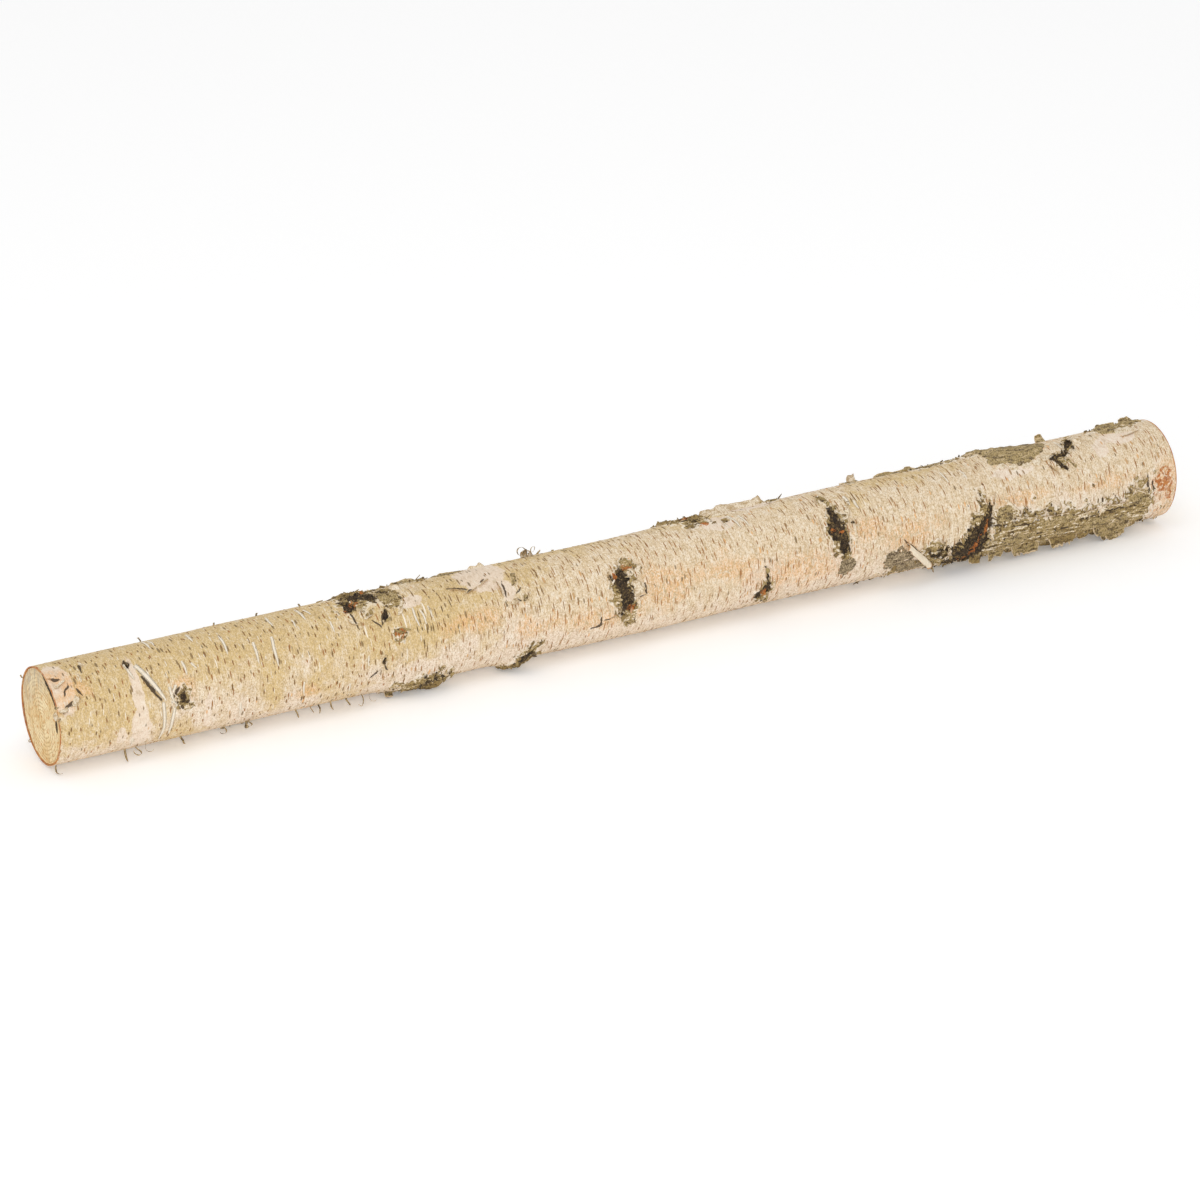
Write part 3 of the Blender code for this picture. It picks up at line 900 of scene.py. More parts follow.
def plate(place, half_length, half_width, thick, seed, edge=0.40, crust=0.55, rings=14, spokes=64):
    """A closed plate of thick bark: a frayed oval, flat on top with steep edges, its foot inside the bark.

    The top is thick times 1 minus the eighth power of the distance from its middle, in steps and roughened by
    crust. The outline lies between an oval and a box: a superellipse with the power SQUARENESS.
    """
    ray = np.linspace(0.0, 2.0 * math.pi, spokes, endpoint=False)[None, :]
    far = np.linspace(1.0, 0.04, rings)[:, None]
    rim = 1.0 + edge * layered_noise(np.cos(ray) * 2.0, np.sin(ray) * 2.0, ray * 0.0, seed, 4)
    square = np.abs(np.cos(ray)) ** SQUARENESS + np.abs(np.sin(ray)) ** SQUARENESS
    square = square ** (-1.0 / SQUARENESS)
    lengthwise = far * rim * square * np.cos(ray) * half_length * MM
    crosswise = far * rim * square * np.sin(ray) * half_width * MM
    along, turn = round_log(place, lengthwise, crosswise)
    bumps = layered_noise(lengthwise / 0.0026, crosswise / 0.0026, 0.0 * far + seed, seed + 5, 3)
    terrace = np.round(1.6 * layered_noise(lengthwise / 0.0080, crosswise / 0.0060, 0.0 * far, seed + 9, 3))
    tall = thick * (1.0 - far**8) * (1.0 + 0.30 * terrace) + crust * bumps * (1.0 - far**8)
    ground = ground_at(along, turn)
    top = on_log(along, turn, ground + MM * (tall - 0.3))
    foot = on_log(along[:1], turn[:1], ground[:1] - PLATE_FOOT)
    loops = np.concatenate([foot, top])
    poles = np.concatenate([foot.mean(axis=1), top[-1:].mean(axis=1)])
    quads, triangles = tube_faces(len(loops), spokes)
    rim_zone = np.concatenate([0.0 * far[:1] + 1.0, far**6]) + 0.0 * ray
    edges = np.append(rim_zone.reshape(-1), [1.0, 0.0])
    zones = {"under": np.zeros_like(edges), "edge": edges}
    return np.concatenate([loops.reshape(-1, 3), poles]), quads, triangles, zones


def fibre(place, heading, length, lift, turns, width, seed, thickness=0.25, stations=26, sway=0.5):
    """A hair or thin ribbon of bark, closed: a flat four-sided profile carried along a curl.

    The curl starts at lift above its heading and turns by the given number of whole turns, faster towards the
    tip, with a sway sideways; its width shrinks to a point.
    """
    out = np.linspace(0.0, 1.0, stations)
    slope = np.radians(lift) + turns * 2.0 * math.pi * out**1.5
    step = length * MM / (stations - 1)
    travelled = np.cumsum(np.cos(slope)) * step
    height = np.cumsum(np.sin(slope)) * step
    drift = sway * length * MM * 0.3 * (value_noise(out * 2.0, 0.0 * out, 0.0 * out, seed) + 0.4 * out)
    half = width * MM / 2.0 * np.sqrt(np.clip(1.0 - out**3, 0.02, 1.0))
    corners = []
    for across, up in ((-1.0, 0.0), (0.0, 1.0), (1.0, 0.0), (0.0, -1.0)):
        forward = travelled - np.sin(slope) * up * thickness * MM / 2.0
        along, turn = round_log(place, forward, drift + across * half, heading)
        lifted = height + np.cos(slope) * up * thickness * MM / 2.0
        corners.append(on_log(along, turn, ground_at(along, turn) + lifted - FIBRE_DEPTH))
    loops = np.stack(corners, axis=1)
    points = np.concatenate([loops.reshape(-1, 3), loops[:1].mean(axis=1), loops[-1:].mean(axis=1)])
    quads, triangles = tube_faces(stations, 4)
    count = len(points)
    return points, quads, triangles, {"under": np.full(count, 0.3), "edge": np.zeros(count)}


def jittered_net(draw, cell_along, cell_round):
    """One random place in every cell of a net laid round the log."""
    rows, columns = int(LENGTH / cell_along), int(2.0 * math.pi * SMALL_END_RADIUS / cell_round)
    along = (np.arange(rows)[:, None] + draw.random((rows, columns))) * cell_along
    turn = (np.arange(columns)[None, :] + draw.random((rows, columns))) * 360.0 / columns
    return along, turn


def lenticels(seed, cell_along, cell_round, amount, plump_by=1.0):
    """Tapered three-sided ridges across the grain, one to a cell of a net, closed to a point at each end."""
    draw = np.random.default_rng(seed)
    along, turn = jittered_net(draw, cell_along, cell_round)
    zones = bark_fields(along, turn)[1]
    calm = (zones["core"] < 0.40) & (zones["crust"] < 0.42) & (zones["slit"] < 0.40)
    calm = calm & (along > PORE_MARGIN) & (along < LENGTH - PORE_MARGIN)
    groups = around_noise(along, turn, 0.024, 0.040, seed + 9, 2)
    crowd = amount * (0.60 + 0.45 * zones["khaki"] + 0.8 * groups)
    crowd = crowd * (0.62 + 0.38 * eased(0.24, 0.40, along))
    kept = calm & (draw.random(along.shape) < crowd * (1.0 - 0.8 * eased(0.45, 0.6, zones["fresh"])))
    along, turn = along[kept], turn[kept]
    khaki, stain, fresh = (zones[name][kept] for name in ("khaki", "stain", "fresh"))
    count = len(along)
    size = draw.random(count) ** 1.5
    stubby = eased(0.34, 0.24, along)
    tone = 0.75 - 0.75 * khaki + 0.5 * (draw.random(count) - 0.4) + 0.5 * stain + 0.3 * fresh
    tone = np.where(stubby > 0.5, draw.random(count) ** 0.8, np.clip(tone, 0.0, 1.0))
    half_long = (0.0019 + 0.0032 * size) * (1.0 - 0.35 * stubby)
    half_wide = plump_by * (0.00046 + 0.00026 * draw.random(count) + 0.00016 * stubby)
    lean = 0.16 * (draw.random(count) - 0.5) * half_long
    reach = np.linspace(-1.0, 1.0, PORE_STATIONS)[None, :, None]
    plump = np.sqrt(1.0 - reach**2 * 0.96)
    side = np.array([-1.0, 0.0, 1.0])[None, None, :]
    along, turn, half_long, half_wide, lean = (
        values[:, None, None] for values in (along, turn, half_long, half_wide, lean)
    )
    spot_along = along + side * half_wide * plump + lean * reach
    spot_turn = turn + np.degrees(reach * half_long / SMALL_END_RADIUS) + 0.0 * side
    ground = bark_height(spot_along.reshape(count, -1), spot_turn.reshape(count, -1)).reshape(spot_turn.shape)
    corners = on_log(spot_along, spot_turn, ground + np.where(side == 0.0, PORE_HEIGHT * plump, -PORE_DEPTH))
    points = np.concatenate([corners.reshape(count, -1, 3), corners[:, (0, -1)].mean(axis=2)], axis=1)
    quads, triangles = tube_faces(PORE_STATIONS, 3)
    size = points.shape[1]
    return points.reshape(-1, 3), *copies(quads, triangles, count, size), {"tone": np.repeat(tone, size)}


def chips(seed, cell, scale):
    """Small tilted five-cornered flakes of broken bark, one to a cell wherever the bark is rough.

    Each has a top and a bottom ring of five corners at uneven angles. Pale ones stand along torn edges, dark
    ones fill the cores and rusty ones the rust.
    """
    draw = np.random.default_rng(seed)
    along, turn = jittered_net(draw, cell, cell)
    zones = bark_fields(along, turn)[1]
    crust, core, rust = (zones[name] for name in ("crust", "core", "rust"))
    torn = np.exp(-(((crust - 0.47) / 0.05) ** 2)) + 0.8 * np.exp(-(((core - 0.42) / 0.06) ** 2))
    chance = 0.09 * eased(0.46, 0.56, crust) + 0.40 * eased(0.46, 0.60, core) + 0.60 * torn
    kept = (draw.random(along.shape) < chance) & (along > CHIP_MARGIN) & (along < LENGTH - CHIP_MARGIN)
    along, turn, torn, core, rust = (values[kept] for values in (along, turn, torn, core, rust))
    count = len(along)
    torn = np.clip(torn, 0.0, 1.0)
    dark = eased(0.46, 0.58, core)
    tone = 0.20 + 0.60 * draw.random(count) + 0.32 * torn * draw.random(count) - 0.34 * dark
    rusty = (eased(0.42, 0.60, rust) > draw.random(count)) * draw.random(count) ** 0.5
    half_long = scale * (0.0007 + 0.0016 * draw.random(count) ** 2) * (1.0 + 0.5 * torn)
    half_wide = half_long * (0.22 + 0.40 * draw.random(count))
    thick = scale * (0.00022 + 0.00035 * draw.random(count))
    tilt = np.radians(6.0 + 34.0 * draw.random(count) ** 1.5)
    heading = np.radians(90.0 + 50.0 * draw.standard_normal(count))
    corner = np.arange(CHIP_CORNERS)
    ray = (corner[None, :] + 0.7 * draw.random((count, CHIP_CORNERS))) * 2.0 * math.pi / CHIP_CORNERS
    first = np.cos(ray) * half_long[:, None] * (0.7 + 0.5 * draw.random((count, CHIP_CORNERS)))
    second = np.sin(ray) * half_wide[:, None]
    lengthwise = first * np.cos(heading)[:, None] - second * np.sin(heading)[:, None]
    crosswise = first * np.sin(heading)[:, None] + second * np.cos(heading)[:, None]
    spot_along = np.clip(along[:, None] + lengthwise, 0.0, LENGTH)
    spot_turn = turn[:, None] + np.degrees(crosswise / SMALL_END_RADIUS)
    middle = bark_height(along[:, None], turn[:, None])
    rise = first * np.tan(tilt)[:, None] + half_long[:, None] * np.tan(tilt)[:, None] * 0.5
    layers = [on_log(spot_along, spot_turn, middle + rise + lift[:, None]) for lift in (-thick, thick)]
    points = np.stack(layers, axis=1).reshape(-1, 3)
    ahead = np.roll(corner, -1)
    quads = np.stack([corner, ahead, ahead + CHIP_CORNERS, corner + CHIP_CORNERS], axis=-1)
    bottom = np.array([(0, number, number + 1) for number in range(1, CHIP_CORNERS - 1)])
    triangles = np.concatenate([bottom + CHIP_CORNERS, bottom[:, ::-1]])
    size = 2 * CHIP_CORNERS
    zones = {"tone": np.repeat(np.clip(tone, 0.0, 1.0), size), "rusty": np.repeat(rusty, size)}
    return points, *copies(quads, triangles, count, size), zones


# ---- Settings ----


def colour_setting(name, text, default):
    """A colour property with a picker."""
    return FloatVectorProperty(
        name=name, description=text, default=default, size=3, min=0.0, max=1.0, subtype="COLOR"
    )


def number_setting(name, text, default, unit="LENGTH", subtype="NONE"):
    """A number property, a length in metres unless said."""
    return FloatProperty(name=name, description=text, default=default, unit=unit, subtype=subtype)


class LogColours(bpy.types.PropertyGroup):
    """Colours of the bark, the scars and the sawn wood."""

    cream: colour_setting("Cream", "Cream outer bark", (0.80, 0.625, 0.41))
    pink: colour_setting("Pink", "Fresh pinkish bark", (0.86, 0.695, 0.545))
    chalk: colour_setting("Chalk", "Chalky bark in fine streaks", (0.96, 0.87, 0.73))
    # Khaki also paints the shade on the under side of the log
    khaki: colour_setting("Khaki", "Bark with a film of algae", (0.71, 0.508, 0.220))
    # Tan also paints the shadow lines along the rims of paper sheets
    tan: colour_setting("Tan", "Fine dark streaks and specks", (0.47, 0.32, 0.15))
    stain: colour_setting("Stain", "Orange stains", (0.82, 0.45, 0.17))
    lenticel: colour_setting("Lenticel", "Breathing pores", (0.16, 0.10, 0.032))
    lenticel_rust: colour_setting("Rusty lenticel", "Breathing pores in pink bark", (0.44, 0.20, 0.065))
    fresh: colour_setting("Fresh", "Bark under a peeled sheet", (0.87, 0.71, 0.57))
    paper: colour_setting("Paper", "Outside of torn paper curls", (0.84, 0.72, 0.54))
    paper_under: colour_setting("Paper under", "Under side of torn paper curls", (0.66, 0.47, 0.27))
    olive: colour_setting("Olive", "Outside of thick bark with algae", (0.44, 0.32, 0.130))
    grey: colour_setting("Grey", "Weathered grey bark", (0.31, 0.235, 0.13))
    crust: colour_setting("Crust", "Rough olive bark", (0.34, 0.23, 0.085))
    # Dark crust and scar also paint shade: in the gaps of the sawn ends, in the strips under the hanging
    # flakes and in the slit along the white roll
    crust_dark: colour_setting("Dark crust", "Cracks in rough bark", (0.075, 0.045, 0.020))
    scar: colour_setting("Scar", "Branch scars", (0.022, 0.015, 0.010))
    rust: colour_setting("Rust", "Inner bark where it shows", (0.45, 0.13, 0.025))
    rust_pale: colour_setting("Pale rust", "Inner bark at the saw cuts", (0.60, 0.26, 0.06))
    wood: colour_setting("Wood", "Sawn wood", (0.80, 0.57, 0.27))
    wood_pale: colour_setting("Pale wood", "Pale streaks in sawn wood", (0.93, 0.76, 0.46))
    wood_dark: colour_setting("Late wood", "Late wood of the growth rings", (0.46, 0.27, 0.09))
    wood_grey: colour_setting("Grey wood", "Weathered sawn wood", (0.50, 0.41, 0.29))


class LogSizes(bpy.types.PropertyGroup):
    """Sizes and fineness of the log's skin."""

    sections: IntProperty(name="Sections", description="Lengths of bark, butted together", default=5, min=1)
    rows: IntProperty(name="Rows", description="Rings of one section", default=361, min=20)
    columns: IntProperty(name="Columns", description="Points round the bark", default=272, min=16)
    bark_thickness: number_setting("Bark thickness", "Thickness of bark seen at the saw cuts", 0.0010)
    cut_depth: number_setting("Cut depth", "How deep the sawn discs reach in", 0.004)


class LogStage(bpy.types.PropertyGroup):
    """Floor, light and camera."""

    floor_size: number_setting("Floor size", "Side of the floor", 14.0)
    floor_colour: colour_setting("Floor colour", "Pale floor", (0.95, 0.95, 0.95))
    floor_glow: number_setting("Floor glow", "Light that the floor gives off", 0.16, "NONE")
    sky_strength: number_setting("Sky strength", "Light from all round", 0.78, "NONE")
    azimuth: number_setting("Azimuth", "Camera's turn round the log", math.radians(-28.6), "NONE", "ANGLE")
    elevation: number_setting("Elevation", "Camera's height angle", math.radians(24.1), "NONE", "ANGLE")
    distance: number_setting("Distance", "Camera to aim point", 3.76)
    lens: number_setting("Lens", "Focal length in mm", 142.5, "NONE")
    aim: FloatVectorProperty(
        name="Aim",
        description="Point that the camera looks at",
        default=(-0.0236, 0.0, 0.0329),
        size=3,
        subtype="XYZ",
        unit="LENGTH",
    )


# ---- Operators ----


class WOODLOG_OT_groups(bpy.types.Operator):
    """Build the shared shader groups"""

    bl_idname = "woodlog.groups"
    bl_label = "Shader groups"

    def execute(self, context):
        build_ragged_edge()
        build_dashes()
        build_crumb_colours(context.scene.log_colours)
        return {"FINISHED"}


class WOODLOG_OT_bark(bpy.types.Operator):
    """Build the bark in sections of rings round the pith, each closed, with thick lips at both saw cuts"""

    bl_idname = "woodlog.bark"
    bl_label = "Bark"

    def execute(self, context):
        sizes = context.scene.log_sizes
        material = bark_material(context.scene.log_colours)
        turn = np.arange(sizes.columns)[None, :] * 360.0 / sizes.columns
        for section in range(sizes.sections):
            start, end = (LENGTH * share / sizes.sections for share in (section, section + 1))
            along = np.linspace(start, end, sizes.rows)[:, None]
            height, zones = bark_fields(along, turn)
            lip = np.full_like(turn, -sizes.bark_thickness)
            first, last = section == 0, section == sizes.sections - 1
            starts = (sizes.cut_depth, 0.0) if first else ()
            ends = (LENGTH, LENGTH - sizes.cut_depth) if last else ()
            before, after = (
                [on_log(np.full((1, 1), place), turn, lip) for place in places] for places in (starts, ends)
            )
            rings = np.concatenate([*before, on_log(along, turn, height), *after])
            poles = np.array([rings[0].mean(axis=0), rings[-1].mean(axis=0)])
            points = np.concatenate([rings.reshape(-1, 3), poles])
            faces = outward(points, *tube_faces(len(rings), sizes.columns))
            for name, values in zones.items():
                values = np.concatenate([*[values[:1]] * len(before), values, *[values[-1:]] * len(after)])
                zones[name] = np.append(values.reshape(-1), [0.0, 0.0])
            piece = make_piece(f"bark_{section + 1}", points, *faces, zones, material, "bark", flat_fans=True)
            if first:
                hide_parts("log")
        return {"FINISHED"}


# Thick plates of each kind: distance along, turn, half length, half width and thickness in mm
PLATES = {
    "paper": (
        (0.4925, 68, 5.0, 4.6, 1.7), (0.884, 23, 4.5, 3.2, 1.4), (0.874, 27, 4.0, 3.0, 1.2),
        (0.864, 28, 4.0, 2.8, 1.3), (0.853, 26, 4.5, 3.0, 1.1), (0.843, 21, 4.0, 3.0, 1.0),
        (0.970, 4, 12.0, 3.5, 1.0),
    ),
    "olive": (
        (0.286, 12, 7.0, 8.0, 1.0), (0.345, -18, 12.0, 4.5, 0.9), (0.860, -3, 30.0, 18.0, 1.5),
        (0.836, -22, 8.0, 6.0, 2.2), (0.957, -8, 9.0, 9.0, 1.4), (0.981, -14, 11.0, 5.0, 1.2),
        (0.832, 80, 9.0, 7.0, 0.9), (0.884, 103, 15.0, 5.0, 0.9), (0.963, 97, 9.0, 6.0, 0.9),
        (0.846, 120, 16.0, 7.0, 1.0), (0.928, 122, 14.0, 7.0, 1.0), (0.962, 150, 12.0, 5.0, 2.6),
        (0.520, -120, 12.0, 8.0, 1.2), (0.340, -60, 14.0, 7.0, 1.0), (0.870, -60, 18.0, 9.0, 1.2),
    ),
    "dark": (
        (0.256, -14, 9.0, 6.0, 1.2), (0.302, 151, 15.0, 6.0, 1.2), (0.317, 148, 8.0, 5.5, 1.5),
        (0.385, 150, 9.0, 5.0, 1.6), (0.544, -20, 6.0, 4.5, 1.6), (0.566, -8, 6.5, 4.0, 1.6),
        (0.942, 148, 16.0, 5.0, 2.4), (0.890, 150, 12.0, 5.0, 2.2), (0.866, 148, 8.0, 5.0, 2.2),
        (0.850, 146, 7.0, 4.0, 1.8), (0.908, 150, 7.0, 4.0, 2.0), (0.150, -160, 14.0, 9.0, 1.2),
        (0.650, -158, 12.0, 9.0, 1.2),
    ),
    "grey": (
        (0.733, 112, 13.0, 13.0, 0.6), (0.746, 130, 15.0, 7.0, 0.7), (0.682, 104, 8.0, 9.0, 0.6),
        (0.620, -60, 10.0, 6.0, 0.9),
    ),
}

# Torn sheets of each kind: distance along, turn, heading, width, reach, lift, roll, narrowing
PEELS = {
    "white": (
        (0.095, 72, 150, 11.0, 1.5, 8, 30, 0.5), (0.093, 84, 200, 9.0, 1.4, 8, 30, 0.5),
        (0.751, 109, -46, 36.0, 11.5, 55, 190, 0.05),
    ),
    "paper": (
        (0.008, 30, 60, 12.0, 3.5, 12, 60, 0.4), (0.014, 54, 30, 9.0, 5.5, 16, 50, 0.5),
        (0.005, 60, 80, 8.0, 5.5, 20, 60, 0.5), (0.000, 66, 150, 6.0, 6.0, 10, 60, 0.5),
        (0.024, 30, 0, 8.0, 2.5, 16, 40, 0.5), (0.030, 10, 0, 8.0, 2.5, 25, 60, 0.5),
        (0.250, 36, 130, 9.0, 3.5, 12, 30, 0.7), (0.262, 32, 60, 10.0, 4.0, 14, 30, 0.7),
        (0.290, 30, 30, 16.0, 3.5, 14, 40, 0.4), (0.296, 0, -70, 10.0, 4.0, 24, 60, 0.3),
        (0.343, 24, 110, 14.0, 3.0, 16, 80, 0.3), (0.353, 28, 70, 12.0, 3.0, 20, 80, 0.4),
        (0.366, 20, 60, 12.0, 3.0, 20, 80, 0.4), (0.378, 36, 180, 14.0, 3.5, 26, 70, 0.5),
        (0.384, 52, 60, 8.0, 4.5, 22, 60, 0.5), (0.374, -20, -80, 14.0, 4.0, 36, 70, 0.4),
        (0.418, -24, -80, 6.0, 8.0, 60, 200, 0.5), (0.422, -22, 0, 5.0, 7.0, 50, 160, 0.5),
        (0.486, 70, -15, 13.0, 9.0, 18, 50, 0.5), (0.493, 52, -60, 6.0, 7.0, 22, 60, 0.6),
        (0.486, 50, 20, 7.0, 4.0, 22, 40, 0.5), (0.470, 52, 180, 12.0, 2.6, 22, 60, 0.5),
        (0.490, 88, 0, 10.0, 3.0, 22, 60, 0.5), (0.604, -19, -90, 60.0, 5.5, 62, 10, 0.1),
        (0.592, -4, -85, 24.0, 2.6, 18, 50, 0.2), (0.614, 108, 0, 14.0, 2.0, 20, 60, 0.4),
        (0.600, 104, 180, 10.0, 2.0, 20, 60, 0.4), (0.687, 38, 20, 14.0, 4.5, 24, 60, 0.5),
        (0.690, 62, 0, 20.0, 2.6, 22, 50, 0.5), (0.664, 50, 180, 20.0, 2.2, 20, 50, 0.5),
        (0.717, -20, -80, 8.0, 7.0, 50, 120, 0.4), (0.824, 66, 200, 20.0, 3.6, 22, 60, 0.4),
        (0.838, 74, -40, 20.0, 3.6, 22, 60, 0.4), (0.852, 92, -80, 26.0, 3.2, 16, 60, 0.3),
        (0.880, 97, -90, 28.0, 3.4, 16, 60, 0.3), (0.912, 102, -95, 26.0, 3.2, 16, 60, 0.3),
        (0.940, 101, -85, 26.0, 3.2, 16, 60, 0.3), (0.962, 90, -60, 16.0, 3.2, 18, 60, 0.3),
        (0.908, 12, -150, 16.0, 3.5, 22, 60, 0.4), (0.920, 6, -30, 14.0, 3.5, 22, 60, 0.4),
        (0.888, 40, 150, 12.0, 3.5, 22, 60, 0.4), (0.972, 12, 80, 22.0, 3.0, 16, 50, 0.3),
        (0.240, -75, 0, 26.0, 4.0, 26, 120, 0.3), (0.470, -90, 180, 30.0, 5.0, 26, 150, 0.3),
        (0.560, -62, -40, 18.0, 5.0, 26, 60, 0.3), (0.680, -100, 0, 20.0, 4.0, 26, 90, 0.3),
        (0.790, -88, 0, 34.0, 5.0, 24, 140, 0.2), (0.060, -60, 0, 30.0, 3.5, 24, 80, 0.2),
    ),
    "olive": (
        (0.310, -20, -90, 22.0, 3.5, 26, 40, 0.2), (0.280, 150, 90, 7.0, 7.0, 35, 170, 0.4),
        (0.389, 26, 20, 13.0, 5.5, 26, 50, 0.5), (0.393, 52, 20, 6.0, 4.0, 26, 60, 0.5),
        (0.350, -16, -90, 24.0, 3.0, 20, 30, 0.2), (0.630, -21, -85, 9.0, 3.6, 30, 40, 0.3),
        (0.671, 14, 200, 12.0, 3.0, 22, 50, 0.5), (0.757, -19, -90, 40.0, 3.4, 28, 50, 0.2),
        (0.770, 102, -60, 14.0, 4.0, 24, 60, 0.4), (0.900, -21, -85, 9.0, 6.0, 45, 60, 0.3),
        (0.904, 38, -30, 12.0, 3.0, 22, 60, 0.4), (0.962, -16, -70, 18.0, 5.0, 20, 30, 0.2),
        (0.984, -18, -90, 14.0, 5.0, 26, 50, 0.3), (0.943, 133, 90, 36.0, 11.5, 56, -15, 0.35),
        (0.860, 137, 88, 27.0, 8.0, 52, -10, 0.25), (0.832, 139, 92, 15.0, 7.5, 50, -10, 0.30),
        (0.930, -110, 180, 18.0, 5.0, 30, 60, 0.3),
    ),
    "dark": (
        (0.063, 24, 100, 5.0, 4.0, 40, 200, 0.3), (0.780, 120, 200, 14.0, 4.0, 24, 60, 0.4),
        (0.896, 136, 90, 27.0, 9.0, 54, -15, 0.25), (0.812, 140, 90, 12.0, 6.5, 48, 0, 0.30),
        (0.917, 140, 90, 12.0, 5.0, 45, 0, 0.40),
    ),
}

# How many plates and sheets are added at random places, how far ribbons sway, and the sheets' thickness in mm
RANDOM_PLATES = 22
RANDOM_SHEETS = 70
RIBBON_SWAY = 0.12
SHEET_THICKNESS = {"white": 0.3, "paper": 0.4, "olive": 0.9, "dark": 1.0, "grey": 0.6}

# Hairs and thin ribbons: distance along, turn, heading, length, lift, whole turns, width
FIBRES = (
    (0.058, 143, 100, 10.8, 70, 0.15, 2.0), (0.066, 140, 20, 17.6, 50, 0.75, 1.6),
    (0.074, 142, 160, 12.2, 60, 0.50, 1.6), (0.104, 143, 60, 9.5, 70, 0.30, 1.6),
    (0.139, 142, 20, 10.8, 60, 0.55, 1.5), (0.156, 142, 90, 12.2, 75, 0.50, 2.2),
    (0.160, 143, 30, 9.5, 60, 0.60, 1.5), (0.200, 143, 70, 8.1, 75, 0.20, 1.4),
    (0.212, 143, 110, 8.1, 80, 0.25, 1.2), (0.219, 143, 90, 8.1, 80, -0.15, 1.4),
    (0.228, 142, 60, 8.1, 70, 0.20, 1.4), (0.243, 143, 90, 10.8, 70, 0.40, 1.5),
    (0.254, 141, 10, 14.9, 55, 0.50, 1.6), (0.262, 143, 150, 10.8, 60, 0.40, 1.5),
    (0.004, 152, 110, 10.8, 60, 0.40, 1.6), (0.001, 60, 170, 8.0, 10, 0.60, 1.6),
    (0.001, 70, 120, 9.0, 20, 0.50, 1.2), (0.000, -62, 150, 7.0, 30, 0.90, 1.1),
    (0.001, -140, 180, 8.1, 30, 0.80, 0.9), (0.418, -21, 0, 24.0, 75, 1.00, 2.2),
    (0.424, -21, 180, 15.0, 55, 0.80, 1.5), (0.416, -20, 170, 12.0, 70, 0.60, 1.5),
    (0.186, -22, -90, 4.0, 60, 0.60, 1.6), (0.222, -22, -60, 4.0, 60, 0.60, 1.6),
    (0.150, -22, -70, 3.5, 60, 0.60, 1.4), (0.088, -20, -40, 6.0, 60, 0.50, 1.4),
    (0.494, 50, -30, 10.0, 40, 0.40, 1.1), (0.505, 70, 20, 7.0, 50, 0.40, 0.9),
    (0.692, 30, 20, 8.0, 50, 0.60, 0.9), (0.766, 133, 60, 9.5, 50, 0.30, 1.4),
    (0.330, -100, -60, 10.0, 60, 0.60, 1.2), (0.760, -120, 20, 12.0, 50, 0.80, 1.4),
)

# Thin white ribbons lying on the bark: distance along, turn, heading, length, lift, width
RIBBONS = (
    (0.069, 27, 62, 36.0, 3, 4.0), (0.061, 22, 75, 16.0, 2, 2.5), (0.088, -17, 88, 18.0, 1, 2.6),
    (0.092, -14, 86, 13.0, 1, 2.1), (0.121, -6, 88, 13.0, 1, 2.5), (0.143, 12, 90, 19.0, 1, 2.5),
    (0.166, 32, 92, 18.0, 1, 2.5), (0.181, 30, 90, 24.0, 1, 2.6), (0.187, -4, 88, 14.0, 1, 2.2),
    (0.213, -8, 86, 18.0, 1, 2.8), (0.218, -2, 70, 10.0, 1, 2.2), (0.204, 14, 92, 9.0, 1, 1.9),
    (0.083, 76, 88, 38.0, 1, 2.8), (0.092, 86, 94, 26.0, 1, 2.8), (0.091, 62, 85, 12.0, 3, 2.6),
    (0.106, 36, 88, 12.0, 1, 2.2), (0.0968, 62, 125, 11.0, 2, 2.8), (0.0908, 78, 53, 9.5, 2, 2.8),
    (0.112, 40, 60, 7.0, 1, 1.9), (0.200, 92, 88, 12.0, 1, 1.9), (0.255, 78, 92, 9.0, 1, 1.9),
    (0.147, 100, 86, 14.0, 1, 1.9), (0.232, 28, 88, 10.0, 1, 1.8), (0.300, 34, 86, 16.0, 1, 2.1),
    (0.306, 38, 84, 13.0, 1, 1.9), (0.313, 36, 84, 10.0, 1, 1.8), (0.592, -2, 80, 20.0, 1, 2.6),
    (0.600, 4, 78, 16.0, 1, 2.2), (0.584, 6, 82, 12.0, 1, 1.9), (0.694, 14, 85, 11.0, 1, 3.5),
    (0.700, 24, 85, 9.0, 1, 2.8), (0.788, 8, 86, 14.0, 1, 2.1), (0.806, 12, 86, 12.0, 1, 2.1),
    (0.905, -6, 88, 16.0, 1, 2.1), (0.060, 118, 86, 12.0, 1, 1.9), (0.240, 110, 86, 9.0, 1, 1.9),
    (0.175, -60, 88, 18.0, 1, 2.5), (0.420, -110, 88, 20.0, 1, 2.5),
)


def detail_materials(colours):
    """The five kinds of torn bark, by name: upper, lower, rim, shade and chalk colours, and roughness."""
    kinds = {
        "white": ("chalk", "paper", "rust_pale", "paper", "chalk", 0.60),
        # The dark rims of paper and grey are painted shadow lines along their torn borders
        "paper": ("paper", "paper_under", "tan", "tan", "chalk", 0.60),
        "olive": ("olive", "paper_under", "cream", "crust_dark", "cream", 0.85),
        "dark": ("crust", "crust_dark", "cream", "crust_dark", "olive", 0.90),
        "grey": ("grey", "paper_under", "crust_dark", "crust_dark", "cream", 0.85),
    }
    return {
        kind: detail_material(f"torn_bark_{kind}", *(getattr(colours, name) for name in names), roughness)
        for kind, (*names, roughness) in kinds.items()
    }


